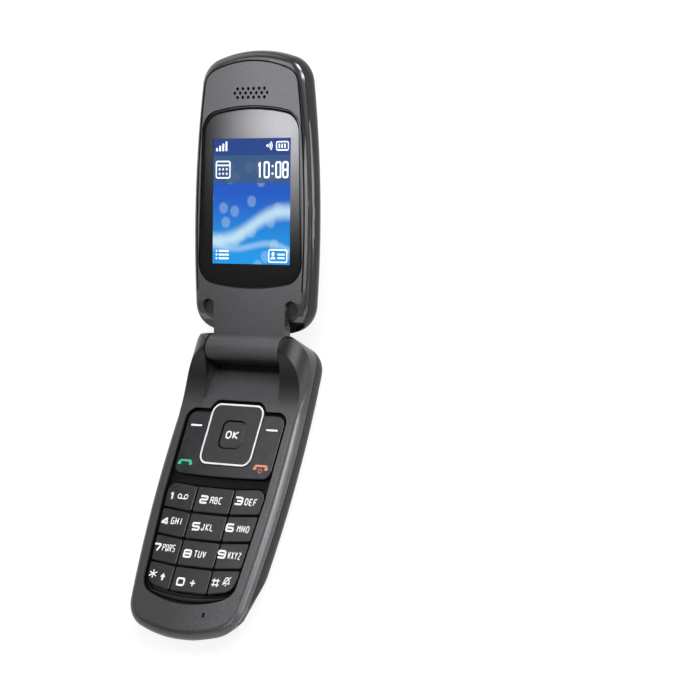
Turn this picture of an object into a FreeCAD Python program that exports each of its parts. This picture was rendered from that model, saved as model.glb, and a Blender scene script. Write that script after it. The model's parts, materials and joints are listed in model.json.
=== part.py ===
import FreeCAD, Part
import math
import os
from types import SimpleNamespace

import Sketcher

# Flip phone, opened. Millimetres. The origin is on the resting plane, under the middle of the hinge axis.
# +X is to the right of someone reading the keys, +Y runs from the keys to the lid, +Z is up.
# The base is drawn where it lies. The lid is drawn opened flat, then tilted about the hinge axis.

SIZES = {
    # Hinge and outlines, lengths counted from the hinge axis
    "reach": 83.4,
    "lid_reach": 83.7,
    "heel": 4.8,
    "lid_tilt": 23.7,
    "base_width": 44.6,
    "base_end_width": 39.2,
    "base_heel_width": 40.8,
    "base_widest_at": 25.6,
    "lid_width": 43.4,
    "lid_end_width": 37.0,
    "lid_hinge_width": 41.2,
    "lid_widest_at": 27.6,
    "lid_hinge_end": 3.6,
    "end_crown": 4.4,
    "lid_end_crown": 4.0,
    "heel_crown": 2.4,
    "lid_hinge_crown": 3.7,
    "end_corner": 8.5,
    "hinge_corner": 7.5,
    "lid_hinge_corner": 8.0,
    # Stack of the base, from the resting plane up
    "cover_wall": 1.0,
    "fit_gap": 0.1,
    "battery_thick": 3.7,
    "bay_plate": 0.7,
    "board_thick": 0.55,
    "dome_height": 0.16,
    "mat_gap": 0.05,
    "mat_thick": 0.26,
    "key_travel": 0.3,
    "key_spare": 0.08,
    "key_height": 1.4,
    "key_proud": 0.9,
    "rim_over_keys": 0.3,
    "axis_over_rim": 1.9,
    # Rear case and battery cover
    "back_round": 4.4,
    "tail_length": 12.5,
    "tail_rise": 6.4,
    "cover_edge": 1.6,
    "cover_side": 2.4,
    "cover_top": 4.1,
    "cover_crown": 4.7,
    "cover_corner": 6.0,
    "seat_gap": 0.15,
    "eyelet_depth": 3.4,
    "eyelet_bridge": 1.7,
    "eyelet_inner_x": 14.5,
    "eyelet_inner_y": 0.2,
    "eyelet_inner_width": 2.5,
    "eyelet_inner_length": 3.9,
    "eyelet_outer_x": 18.0,
    "eyelet_outer_from_axis": 3.6,
    "eyelet_outer_width": 3.0,
    "eyelet_outer_length": 2.9,
    "eyelet_corner": 0.9,
    # Front case
    "front_round": 2.2,
    "seam_height": 0.25,
    "seam_depth": 0.3,
    "side_wall": 1.8,
    "ear_radius": 4.4,
    "ear_inside": 13.35,
    "shoulder_radius": 26.0,
    "shoulder_fade": 18.0,
    "shoulder_fade_drop": 2.8,
    "crown_radius": 9.0,
    "crown_centre_x": 12.3,
    "barrel_cut": 5.2,
    "panel_drop": 1.4,
    "panel_end": 14.6,
    "recess_gap": 1.0,
    "recess_crescent": 2.2,
    "opening_gap": 0.3,
    # Keys, places counted from the hinge axis
    "key_round": 0.25,
    "function_top": 18.3,
    "function_bottom": 37.1,
    "function_width": 34.4,
    "function_smile": 0.5,
    "function_corner": 2.6,
    "nav_top": 15.6,
    "nav_width": 18.6,
    "nav_length": 18.0,
    "nav_corner": 3.0,
    "nav_ring_width": 0.5,
    "nav_ring_depth": 0.7,
    "nav_ring_proud": 0.12,
    "ok_width": 7.7,
    "ok_length": 7.9,
    "ok_corner": 1.8,
    "ok_sunk": 0.2,
    "number_top": 40.1,
    "number_pitch": 7.8,
    "last_row": 7.4,
    "number_top_width": 35.0,
    "number_bottom_width": 31.0,
    "number_column": 6.66,
    "number_smile": 0.8,
    "end_smile": 1.6,
    "key_slit": 0.6,
    "key_corner": 0.5,
    "block_corner": 2.6,
    "block_end_corner": 4.0,
    "dome_radius": 2.0,
    "mat_lip": 1.1,
    # Base electronics
    "board_edge": 0.6,
    "board_hinge_end": 6.4,
    "cavity_hinge_end": 6.1,
    "end_wall": 1.1,
    "mic_x": 8.0,
    "mic_radius": 2.0,
    "mic_height": 1.2,
    "mic_slot_width": 0.9,
    "mic_slot_length": 1.3,
    "boot_wall": 0.5,
    "hall_x": 6.0,
    "hall_width": 1.8,
    "hall_height": 0.5,
    "connector_width": 9.0,
    "connector_length": 2.4,
    "connector_height": 0.4,
    "socket_length": 8.0,
    "socket_depth": 5.2,
    "socket_height": 1.8,
    "socket_setback": 1.2,
    "socket_from_axis": 12.0,
    "socket_lip": 0.35,
    "battery_width": 34.0,
    "battery_room": 0.4,
    "battery_end_wall": 14.5,
    "battery_corner": 0.9,
    "contact_width": 9.0,
    "contact_depth": 1.4,
    "contact_height": 2.6,
    "upper_bay_start": 10.4,
    "upper_bay_length": 17.6,
    "upper_bay_width": 38.4,
    "bay_rib": 1.0,
    "sim_width": 25.0,
    "sim_length": 15.0,
    "sim_thick": 0.76,
    "sim_rail": 1.2,
    "sim_roof": 0.9,
    "motor_radius": 1.7,
    "motor_length": 8.5,
    "motor_shaft_radius": 0.4,
    "motor_shaft_length": 4.0,
    "motor_room": 0.5,
    "weight_radius": 1.4,
    "weight_hub_radius": 0.9,
    "weight_length": 2.8,
    "weight_gap": 0.4,
    "running_gap": 0.05,
    "shield_width": 3.6,
    "shield_length": 14.0,
    "shield_height": 1.8,
    "antenna_width": 22.0,
    "antenna_length": 3.0,
    "antenna_height": 2.4,
    "antenna_room": 0.8,
    "screw_radius": 0.7,
    "screw_head_radius": 1.4,
    "screw_head_height": 1.0,
    "screw_bite": 1.3,
    "case_screw_hinge_x": 14.5,
    "case_screw_hinge_from_axis": 8.3,
    "case_screw_end_x": 14.0,
    "case_screw_from_end": 8.4,
    # Hinge
    "barrel_radius": 4.3,
    "barrel_half": 13.0,
    "cartridge_radius": 3.05,
    "cartridge_length": 11.0,
    "shaft_radius": 1.6,
    "shaft_in_ear": 4.2,
    "shaft_in_barrel": 4.0,
    "pin_in_barrel": 2.6,
    "flex_bore_radius": 2.9,
    "flex_bore_length": 9.4,
    "flex_roll_radius": 2.6,
    "flex_roll_wall": 0.4,
    "flex_width": 5.0,
    "flex_thick": 0.2,
    "flex_drop": 1.1,
    "flex_room": 0.3,
    # Lid, heights counted from the hinge axis towards the reader
    "panel_height": 0.95,
    "panel_thick": 1.1,
    "lid_back_drop": 5.2,
    "lid_back_round": 2.8,
    "lid_front_round": 3.3,
    "frame_inset": 0.8,
    "frame_width": 0.7,
    "panel_end_drop": 1.4,
    "frame_depth": 1.75,
    "frame_ledge": 1.0,
    "cover_ledge": 0.7,
    "lid_wall": 1.1,
    "neck_half": 12.7,
    "neck_drop": 1.8,
    "neck_length": 12.0,
    "neck_gap": 0.2,
    "corner_clearance": 0.5,
    "window_bottom": 17.5,
    "window_top": 67.9,
    "window_bottom_width": 36.9,
    "window_top_width": 34.5,
    "window_bottom_arch": 2.4,
    "window_top_arch": 2.5,
    "window_corner": 6.0,
    "window_thick": 0.7,
    "window_sunk": 0.12,
    "window_gap": 0.4,
    "view_width": 28.0,
    "view_length": 35.1,
    "view_bottom": 24.0,
    "view_margin": 0.8,
    "lcd_width": 33.0,
    "lcd_length": 43.0,
    "lcd_chin": 4.5,
    "lcd_thick": 1.5,
    "backlight_thick": 0.9,
    "lid_board_thick": 0.5,
    "lid_board_width": 30.0,
    "lid_board_length": 45.0,
    "speaker_at": 71.7,
    "speaker_pitch": 1.93,
    "speaker_row_pitch": 1.2,
    "speaker_hole_radius": 0.5,
    "earpiece_width": 15.2,
    "earpiece_length": 6.4,
    "earpiece_height": 2.0,
    "gasket_height": 0.5,
    "gasket_wall": 0.8,
    "magnet_width": 6.0,
    "magnet_length": 3.0,
    "magnet_height": 1.2,
    "cap_x": 14.9,
    "cap_at": 11.9,
    "cap_radius": 2.1,
    "cap_depth": 0.45,
    "cap_sunk": 0.1,
    "lid_boss_radius": 2.4,
    "lid_boss_drop": 2.9,
    "lid_screw_head_radius": 1.5,
    "lid_screw_head_height": 0.8,
    "lid_screw_end": 0.6,
    # One overrun serves every cut
    "overrun": 3.0,
}
SPEAKER_ROWS = (6, 7, 6)
NUMBER_ROWS = 4
NUMBER_COLUMNS = 3
PRESS_SHARES = (0.25, 0.75)
MIC_PLACE_SHARE = 0.44
RELIEF_TURN = math.radians(40)
EIGHTH_TURN = math.radians(45)
TAIL_TURNS = [math.radians(turn) for turn in range(0, 73, 12)]
TAIL_SIDE_SHARE = 0.6
START, END, CENTRE = 1, 2, 3
CLOSE = 1e-6

doc = FreeCAD.newDocument("FlipPhone")
sheet = doc.addObject("Spreadsheet::Sheet", "Sizes")
for row, (alias, value) in enumerate(SIZES.items(), start=1):
    sheet.set(f"A{row}", alias)
    sheet.set(f"B{row}", str(value))
    sheet.setAlias(f"B{row}", alias)
doc.recompute()


class Size:
    """A length, with its value now and the expression that gives it from the sheet."""

    def __init__(self, value, text):
        self.value = value
        self.text = text

    def __float__(self):
        return self.value

    def __add__(self, other):
        other = as_size(other)
        return Size(self.value + other.value, f"({self.text} + {other.text})")

    def __sub__(self, other):
        other = as_size(other)
        return Size(self.value - other.value, f"({self.text} - {other.text})")

    def __mul__(self, times):
        times = as_size(times)
        return Size(self.value * times.value, f"({self.text} * {times.text})")

    def __truediv__(self, parts):
        parts = as_size(parts)
        return Size(self.value / parts.value, f"({self.text} / {parts.text})")

    def __neg__(self):
        return Size(-self.value, f"(0 - {self.text})")

    def __rmul__(self, times):
        return self * times

    def root(self):
        return Size(self.value ** 0.5, f"sqrt({self.text})")


def as_size(item):
    return item if isinstance(item, Size) else Size(float(item), repr(float(item)))


s = SimpleNamespace(**{alias: Size(value, f"Sizes.{alias}") for alias, value in SIZES.items()})
ZERO = as_size(0)
pieces = []


# Sketches and solids


def bind(feature, **sizes):
    """Tie a feature's properties to sizes."""
    for name, size in sizes.items():
        feature.setExpression(name, as_size(size).text)


def spot(x, y):
    return FreeCAD.Vector(float(x), float(y), 0)


def pin(sketch, geometry, end, x, y):
    """Hold one point of a sketch at x, y from its origin, the start of its axis -1. Its other axis is -2."""
    for kind, axis, place in (("DistanceX", -2, as_size(x)), ("DistanceY", -1, as_size(y))):
        if place.value == 0:
            sketch.addConstraint(Sketcher.Constraint("PointOnObject", geometry, end, axis))
            continue
        ends = (-1, START, geometry, end) if place.value > 0 else (geometry, end, -1, START)
        length = place if place.value > 0 else -place
        index = sketch.addConstraint(Sketcher.Constraint(kind, *ends, length.value))
        sketch.setExpression(f"Constraints[{index}]", length.text)


def draw_edge(sketch, step, following):
    """Draw one edge of an outline. Gives its index, and which of its ends are its start and its finish."""
    start, finish = spot(*step[:2]), spot(*following[:2])
    if len(step) == 2:
        return sketch.addGeometry(Part.LineSegment(start, finish)), START, END
    bulge = spot(*step[2:])
    turns_left = (bulge - start).cross(finish - bulge).z > 0
    first, last = (start, finish) if turns_left else (finish, start)
    index = sketch.addGeometry(Part.Arc(first, bulge, last))
    marker = sketch.addGeometry(Part.Point(bulge), True)
    pin(sketch, marker, START, *step[2:])
    sketch.addConstraint(Sketcher.Constraint("PointOnObject", marker, START, index))
    return (index, START, END) if turns_left else (index, END, START)


def draw_outline(sketch, path):
    """Draw a closed outline. A step of two sizes starts a straight edge, one of four an arc."""
    edges = [draw_edge(sketch, step, path[(i + 1) % len(path)]) for i, step in enumerate(path)]
    for (edge, start, finish), (next_edge, next_start, _), step in zip(edges, edges[1:] + edges[:1], path):
        pin(sketch, edge, start, *step[:2])
        sketch.addConstraint(Sketcher.Constraint("Coincident", edge, finish, next_edge, next_start))


def draw_circle(sketch, x, y, radius):
    index = sketch.addGeometry(Part.Circle(spot(x, y), FreeCAD.Vector(0, 0, 1), float(radius)))
    pin(sketch, index, CENTRE, x, y)
    held = sketch.addConstraint(Sketcher.Constraint("Radius", index, float(radius)))
    sketch.setExpression(f"Constraints[{held}]", radius.text)


def solid(label, low, high, plane, paths=(), circles=()):
    """Pad outlines and circles drawn on an origin plane, from low to high along that plane's normal."""
    body = doc.addObject("PartDesign::Body", label)
    sketch = body.newObject("Sketcher::SketchObject", f"{label}_sketch")
    support = next(item for item in body.Origin.OriginFeatures if item.Role == f"{plane}_Plane")
    sketch.AttachmentSupport = [(support, "")]
    sketch.MapMode = "FlatFace"
    sketch.setExpression("AttachmentOffset.Base.z", as_size(low).text)
    for path in paths:
        draw_outline(sketch, path)
    for x, y, radius in circles:
        draw_circle(sketch, x, y, radius)
    pad = body.newObject("PartDesign::Pad", f"{label}_pad")
    pad.Profile = sketch
    bind(pad, Length=as_size(high) - low)
    return body


def plate(label, path, low, high):
    return solid(label, low, high, "XY", paths=[path])


def rectangle(x0, x1, y0, y1):
    return [(x0, y0), (x1, y0), (x1, y1), (x0, y1)]


def block(label, x0, x1, y0, y1, z0, z1):
    return plate(label, rectangle(x0, x1, y0, y1), z0, z1)


def disc(label, x, y, radius, low, high):
    return solid(label, low, high, "XY", circles=[(x, y, radius)])


def discs(label, places, radius, low, high):
    return solid(label, low, high, "XY", circles=[(x, y, radius) for x, y in places])


def cross_rod(label, z, radius, low, high):
    """A round bar along X, over the hinge axis or at a height above it."""
    return solid(label, low, high, "YZ", circles=[(ZERO, z, radius)])


def round_edges(body, radius, chosen):
    """Round the edges of a body that the chosen test picks out."""
    doc.recompute()
    last = body.Tip
    names = [f"Edge{i}" for i, edge in enumerate(last.Shape.Edges, start=1) if chosen(edge)]
    fillet = body.newObject("PartDesign::Fillet", f"{body.Name}_round")
    fillet.Base = (last, names)
    bind(fillet, Radius=radius)
    return body


def upright(edge):
    first, last = edge.Vertexes[0].Point, edge.Vertexes[-1].Point
    return len(edge.Vertexes) == 2 and math.hypot(first.x - last.x, first.y - last.y) < CLOSE


def upright_before(y):
    """A test for upright edges on the key side of a place along the phone."""
    return lambda edge: upright(edge) and edge.CenterOfMass.y < float(y)


def upright_after(y):
    return lambda edge: upright(edge) and edge.CenterOfMass.y > float(y)


def upright_at(x, y):
    """A test for the upright edge that stands at one place."""
    place = spot(x, y)

    def stands_there(edge):
        middle = edge.CenterOfMass
        return upright(edge) and spot(middle.x, middle.y).distanceToPoint(place) < CLOSE

    return stands_there


def at_level(level):
    """A test for edges that lie at one height."""
    return lambda edge: all(abs(vertex.Z - float(level)) < CLOSE for vertex in edge.Vertexes)


def join(label, *shapes):
    fused = doc.addObject("Part::MultiFuse", label)
    fused.Shapes = list(shapes)
    return fused


def shared(label, *shapes):
    met = doc.addObject("Part::MultiCommon", label)
    met.Shapes = list(shapes)
    return met


def cut(label, body, *tools):
    result = doc.addObject("Part::Cut", label)
    result.Base = body
    result.Tool = tools[0] if len(tools) == 1 else join(f"{label}_cuts", *tools)
    return result


def group(label, shapes):
    """Separate solids that share one node."""
    result = doc.addObject("Part::Compound", label)
    result.Links = list(shapes)
    return result


def base_piece(piece):
    pieces.append(piece)
    return piece


def lid_piece(piece):
    """Tilt a piece drawn flat about the hinge axis, to the open stop."""
    turn = FreeCAD.Rotation(FreeCAD.Vector(1, 0, 0), float(s.lid_tilt))
    piece.Placement = FreeCAD.Placement(FreeCAD.Vector(), turn)
    piece.setExpression("Placement.Base.z", AXIS.text)
    piece.setExpression("Placement.Rotation.Angle", s.lid_tilt.text)
    pieces.append(piece)
    return piece


# Heights of the base

BATTERY_LOW = s.cover_wall + s.fit_gap
BAY_ROOF = BATTERY_LOW + s.battery_thick + s.fit_gap
SEAM = BAY_ROOF + s.bay_plate
BOARD_TOP = SEAM + s.board_thick
DOME_TOP = BOARD_TOP + s.dome_height
MAT_LOW = DOME_TOP + s.mat_gap
MAT_TOP = MAT_LOW + s.mat_thick
CAVITY_TOP = MAT_TOP + s.fit_gap
KEY_LOW = MAT_TOP + s.key_travel + s.key_spare
KEY_TOP = KEY_LOW + s.key_height
RECESS_FLOOR = KEY_TOP - s.key_proud
RIM = KEY_TOP + s.rim_over_keys
AXIS = RIM + s.axis_over_rim
EAR_TOP = AXIS + s.ear_radius
SEAT = s.cover_edge + s.fit_gap
SCREW_SHOULDER = SEAT + s.fit_gap + s.screw_head_height

# Places along the base, counted from the hinge axis towards the keys

NUMBER_BOTTOM = s.number_top + (NUMBER_ROWS - 1) * s.number_pitch + s.last_row
MIC_FROM_AXIS = NUMBER_BOTTOM + MIC_PLACE_SHARE * (s.reach - NUMBER_BOTTOM)
UPPER_BAY_END = s.upper_bay_start + s.upper_bay_length
BATTERY_BAY_START = UPPER_BAY_END + s.bay_rib
BATTERY_START = BATTERY_BAY_START + s.contact_depth + 2 * s.fit_gap
BATTERY_END = s.reach - s.battery_end_wall
BATTERY_BAY_END = BATTERY_END + s.battery_room
ANTENNA_START = BATTERY_BAY_END + s.antenna_room

# The free end is a wide arc with round corners. The arc's radius, and a corner's centre from the hinge axis:

END_HALF = s.base_end_width / 2
END_ARC = (END_HALF * END_HALF + s.end_crown * s.end_crown) / (2 * s.end_crown)
CORNER_X = END_HALF - s.end_corner
CORNER_IN_ARC = (END_ARC - s.end_corner) * (END_ARC - s.end_corner) - CORNER_X * CORNER_X
CORNER_FROM_AXIS = s.reach - END_ARC + CORNER_IN_ARC.root()
ARC_TURN = math.asin(float(CORNER_X) / float(END_ARC - s.end_corner))

# The shoulder is a hollow arc that meets the ear and the rim without a kink. Its centre, from the hinge axis:

SHOULDER_UP = s.shoulder_radius - s.axis_over_rim
SHOULDER_SPAN = s.shoulder_radius + s.ear_radius
SHOULDER_BACK = (SHOULDER_SPAN * SHOULDER_SPAN - SHOULDER_UP * SHOULDER_UP).root()

# Heights of the lid over the hinge axis

PANEL_LOW = s.panel_height - s.panel_thick
FRAME_LOW = s.panel_height - s.frame_depth
HOLLOW_TOP = FRAME_LOW - s.cover_ledge
WINDOW_TOP = s.panel_height - s.window_sunk
WINDOW_LOW = WINDOW_TOP - s.window_thick
LCD_LOW = PANEL_LOW - s.lcd_thick
BACKLIGHT_LOW = LCD_LOW - s.backlight_thick
LID_FLOOR = s.lid_wall - s.lid_back_drop
PANEL_SEAT = s.frame_inset + s.frame_width
LID_OPENING = PANEL_SEAT + s.frame_ledge
RELIEF_RADIUS = s.shoulder_radius - s.corner_clearance
CAP_BACK = SHOULDER_BACK - s.cap_at + s.cap_radius
CAP_TOP = (RELIEF_RADIUS * RELIEF_RADIUS - CAP_BACK * CAP_BACK).root() - SHOULDER_UP - s.cap_sunk
CAP_LOW = CAP_TOP - s.cap_depth


# Outlines


def base_outline(inset, hinge_end=None):
    """Plan of the base drawn in by an inset, with a straight hinge end where its distance is given."""
    end_x = s.base_end_width / 2 - inset
    side_x = s.base_width / 2 - inset
    heel_x = s.base_heel_width / 2 - inset
    end_y = -(s.reach - inset)
    end_corner_y = end_y + s.end_crown
    path = [
        (-end_x, end_corner_y, ZERO, end_y),
        (end_x, end_corner_y, side_x, -s.base_widest_at),
    ]
    if hinge_end is not None:
        return path + [(heel_x, -hinge_end), (-heel_x, -hinge_end, -side_x, -s.base_widest_at)]
    heel_y = s.heel - inset
    heel_corner_y = heel_y - s.heel_crown
    return path + [
        (heel_x, heel_corner_y, ZERO, heel_y),
        (-heel_x, heel_corner_y, -side_x, -s.base_widest_at),
    ]


def lid_outline(inset, end_drop):
    """Plan of the lid opened flat, drawn in by an inset, and by a drop more at the free end."""
    hinge_x = s.lid_hinge_width / 2 - inset
    side_x = s.lid_width / 2 - inset
    end_x = s.lid_end_width / 2 - inset
    hinge_y = s.lid_hinge_end + inset
    end_y = s.lid_reach - inset - end_drop
    return [
        (-hinge_x, hinge_y + s.lid_hinge_crown, ZERO, hinge_y),
        (hinge_x, hinge_y + s.lid_hinge_crown, side_x, s.lid_widest_at),
        (end_x, end_y - s.lid_end_crown, ZERO, end_y),
        (-end_x, end_y - s.lid_end_crown, -side_x, s.lid_widest_at),
    ]


def base_plan(label, inset, low, high):
    body = plate(label, base_outline(inset), low, high)
    round_edges(body, s.end_corner - inset, upright_before(-s.base_widest_at))
    return round_edges(body, s.hinge_corner - inset, upright_after(-s.base_widest_at))


def base_tray(label, inset, hinge_end, low, high):
    """The base's plan inside the shell, with a straight hinge end."""
    body = plate(label, base_outline(inset, hinge_end), low, high)
    return round_edges(body, s.end_corner - inset, upright_before(-s.base_widest_at))


def lid_plan(label, inset, low, high, end_drop=ZERO):
    body = plate(label, lid_outline(inset, end_drop), low, high)
    round_edges(body, s.lid_hinge_corner - inset, upright_before(s.lid_widest_at))
    return round_edges(body, s.end_corner - inset, upright_after(s.lid_widest_at))


def rounded_block(label, x0, x1, y0, y1, low, high, radius):
    return round_edges(block(label, x0, x1, y0, y1, low, high), radius, upright)


# Keys


def nav_plan(label, gap, low, high):
    """The navigation key's rounded square, grown by a gap."""
    half = s.nav_width / 2 + gap
    far = -(s.nav_top + s.nav_length + gap)
    return rounded_block(label, -half, half, far, gap - s.nav_top, low, high, s.nav_corner + gap)


def ok_plan(label, gap, low, high):
    half = s.ok_width / 2 + gap
    middle = -(s.nav_top + s.nav_length / 2)
    reach = s.ok_length / 2 + gap
    return rounded_block(label, -half, half, middle - reach, middle + reach, low, high, s.ok_corner + gap)


def function_plan(label, gap, low, high):
    half = s.function_width / 2 + gap
    far = -(s.function_bottom + gap)
    path = [
        (-half, far + s.function_smile, ZERO, far),
        (half, far + s.function_smile),
        (half, gap - s.function_top),
        (-half, gap - s.function_top),
    ]
    return round_edges(plate(label, path, low, high), s.function_corner + gap, upright)


def number_half(from_axis):
    """Half the number block's width at a distance from the hinge axis."""
    taper = (s.number_top_width - s.number_bottom_width) / 2
    return s.number_top_width / 2 - taper * (from_axis - s.number_top) / (NUMBER_BOTTOM - s.number_top)


def number_plan(label, gap, low, high, crescent):
    """The whole number block, grown by a gap, with a crescent of room towards the free end."""
    top_half = s.number_top_width / 2 + gap
    bottom_half = s.number_bottom_width / 2 + gap
    near = gap - s.number_top
    far = -(NUMBER_BOTTOM + gap)
    path = [
        (-bottom_half, far + s.end_smile, ZERO, far - crescent),
        (bottom_half, far + s.end_smile),
        (top_half, near + s.number_smile, ZERO, near),
        (-top_half, near + s.number_smile),
    ]
    body = plate(label, path, low, high)
    middle = (near + far) / 2
    round_edges(body, s.block_end_corner + gap, upright_before(middle))
    return round_edges(body, s.block_corner + gap, upright_after(middle))


def number_line(row):
    """Distance of a line between rows of number keys from the hinge axis."""
    return NUMBER_BOTTOM if row == NUMBER_ROWS else s.number_top + row * s.number_pitch


def number_key(name, row, column):
    """One number key. The rows curve up to the sides and the block narrows towards the free end."""
    near, far = number_line(row), number_line(row + 1)
    last = row == NUMBER_ROWS - 1
    near_y, far_y = -(near + s.key_slit / 2), s.key_slit / 2 - far
    inner = s.number_column - s.key_slit / 2
    if column == 0:
        corners = rectangle(-inner, inner, far_y, near_y)
    else:
        inner = s.number_column + s.key_slit / 2
        corners = [
            (column * inner, far_y),
            (column * number_half(far), far_y + (s.end_smile if last else s.number_smile)),
            (column * number_half(near), near_y + s.number_smile),
            (column * inner, near_y),
        ]
    path = corners if column >= 0 else corners[::-1]
    body = plate(name, path, KEY_LOW, KEY_TOP)
    outer = {0: 2, NUMBER_ROWS - 1: 1}.get(row) if column else None
    if outer is None:
        round_edges(body, s.key_corner, upright)
    else:
        block_corner = upright_at(*corners[outer])
        round_edges(body, s.block_end_corner if last else s.block_corner, block_corner)
        round_edges(body, s.key_corner, lambda edge: any(upright_at(*corner)(edge) for corner in corners))
    return round_edges(body, s.key_round, at_level(KEY_TOP))


def keys():
    plan = function_plan("function_plate_plan", ZERO, KEY_LOW, KEY_TOP)
    round_edges(plan, s.key_round, at_level(KEY_TOP))
    nav_room = nav_plan("function_plate_nav_room", s.opening_gap, KEY_LOW - s.overrun, KEY_TOP + s.overrun)
    base_piece(cut("function_plate", plan, nav_room))
    ring_low = KEY_TOP - s.nav_ring_depth
    flange = nav_plan("nav_key_flange", ZERO, KEY_LOW, ring_low)
    crown = nav_plan("nav_key_crown", -s.nav_ring_width, KEY_LOW, KEY_TOP)
    ok_room = ok_plan("nav_key_ok_room", s.opening_gap, KEY_LOW - s.overrun, KEY_TOP + s.overrun)
    base_piece(cut("nav_key", join("nav_key_whole", flange, crown), ok_room))
    ring = nav_plan("nav_ring_outside", ZERO, ring_low, KEY_TOP + s.nav_ring_proud)
    ring_room = nav_plan("nav_ring_inside", -s.nav_ring_width, ring_low - s.overrun, KEY_TOP + s.overrun)
    base_piece(cut("nav_ring", ring, ring_room))
    ok_top = KEY_TOP - s.ok_sunk
    base_piece(round_edges(ok_plan("ok_key", ZERO, KEY_LOW, ok_top), s.key_round, at_level(ok_top)))
    names = ("1", "2", "3", "4", "5", "6", "7", "8", "9", "star", "0", "hash")
    for place, name in enumerate(names):
        base_piece(number_key(f"key_{name}", place // NUMBER_COLUMNS, place % NUMBER_COLUMNS - 1))


def key_middles():
    """Where each key presses: the navigation key's middle and sides, the function plate, the numbers."""
    nav_middle = -(s.nav_top + s.nav_length / 2)
    nav_arm_x = (s.nav_width + s.ok_width) / 4
    nav_arm_y = (s.nav_length + s.ok_length) / 4
    wing_x = (s.function_width + s.nav_width) / 4
    spots = [(ZERO, nav_middle), (nav_arm_x, nav_middle), (-nav_arm_x, nav_middle)]
    spots += [(ZERO, nav_middle + nav_arm_y), (ZERO, nav_middle - nav_arm_y)]
    for side in (1, -1):
        for share in PRESS_SHARES:
            spots.append((side * wing_x, -(s.function_top + share * (s.function_bottom - s.function_top))))
    for row in range(NUMBER_ROWS):
        middle = -(number_line(row) + number_line(row + 1)) / 2
        side_x = (s.number_column + number_half(number_line(row))) / 2
        spots += [(-side_x, middle), (ZERO, middle), (side_x, middle)]
    return spots


# Base shells


def cover_zone(label, gap, low, high):
    """Everything on the key side of the battery cover's arched seam."""
    half = s.base_width / 2 + s.overrun
    seam_y = gap - s.cover_top
    corner_y = seam_y - s.cover_crown
    path = [
        (-half, -(s.reach + s.overrun)),
        (half, -(s.reach + s.overrun)),
        (half, corner_y, ZERO, seam_y),
        (-half, corner_y),
    ]
    body = plate(label, path, low, high)
    return round_edges(body, s.cover_corner + s.overrun, upright_after(-s.base_widest_at))


def screw_places():
    hinge_y = -s.case_screw_hinge_from_axis
    end_y = s.case_screw_from_end - s.reach
    return [
        (side * x, y)
        for x, y in ((s.case_screw_hinge_x, hinge_y), (s.case_screw_end_x, end_y))
        for side in (1, -1)
    ]


def tail_profile(reach, length):
    """Side view over an arc that leaves the resting plane without a kink and rises towards the reach."""
    start = length - reach
    slope = (length * length + s.tail_rise * s.tail_rise).root()
    bulge = slope * (slope - length) / (2 * s.tail_rise)
    back, over = s.reach + s.overrun, RIM + s.overrun
    return [
        (-reach, s.tail_rise, start - slope / 2, bulge),
        (start, ZERO),
        (back, ZERO),
        (back, over),
        (-(reach + s.overrun), over),
    ]


def end_reach(turn):
    """How far the free end's outline lies from the hinge axis in a direction turned from its middle."""
    if turn < ARC_TURN:
        return END_ARC + (s.reach - END_ARC) * math.cos(turn)
    return CORNER_X * math.sin(turn) + CORNER_FROM_AXIS * math.cos(turn) + s.end_corner


def hull(label):
    """The upsweep that the base's shells share, in steps along the free end and round its corners."""
    tails = []
    for step, turn in enumerate(TAIL_TURNS):
        share = TAIL_SIDE_SHARE + (1 - TAIL_SIDE_SHARE) * math.cos(turn) ** 2
        path = tail_profile(end_reach(turn), share * s.tail_length)
        for side in (1, -1) if turn else (1,):
            tail = solid(f"{label}_tail_{step}_{side + 1}", -s.reach, s.reach, "YZ", paths=[path])
            angle = math.degrees(side * turn)
            tail.Placement = FreeCAD.Placement(FreeCAD.Vector(), FreeCAD.Vector(0, 0, 1), angle)
            tails.append(tail)
    return tails


def back_plan(label):
    """The rear shell's full outside, rounded over to the resting plane and swept up at the free end."""
    plan = round_edges(base_plan(f"{label}_plan", ZERO, ZERO, SEAM), s.back_round, at_level(ZERO))
    return shared(label, plan, *hull(label))


def battery_cover():
    zone = cover_zone("battery_cover_zone", ZERO, -s.overrun, s.cover_edge)
    skin = shared("battery_cover_skin", back_plan("battery_cover_outside"), zone)
    over = s.cover_edge + s.overrun
    half, upper_half = s.battery_width / 2 + s.battery_room, s.upper_bay_width / 2
    inside = base_plan("battery_cover_inside", s.cover_side, s.cover_wall, over)
    room = rounded_block("battery_cover_room", -half, half, -BATTERY_BAY_END, s.heel, s.cover_wall, over,
                         s.battery_corner + s.battery_room)
    upper = block("battery_cover_upper_room", -upper_half, upper_half, -UPPER_BAY_END, s.heel,
                  s.cover_wall, over)
    bay = join("battery_cover_bay", room, upper)
    return base_piece(cut("battery_cover", skin, shared("battery_cover_hollow", inside, bay)))


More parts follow.
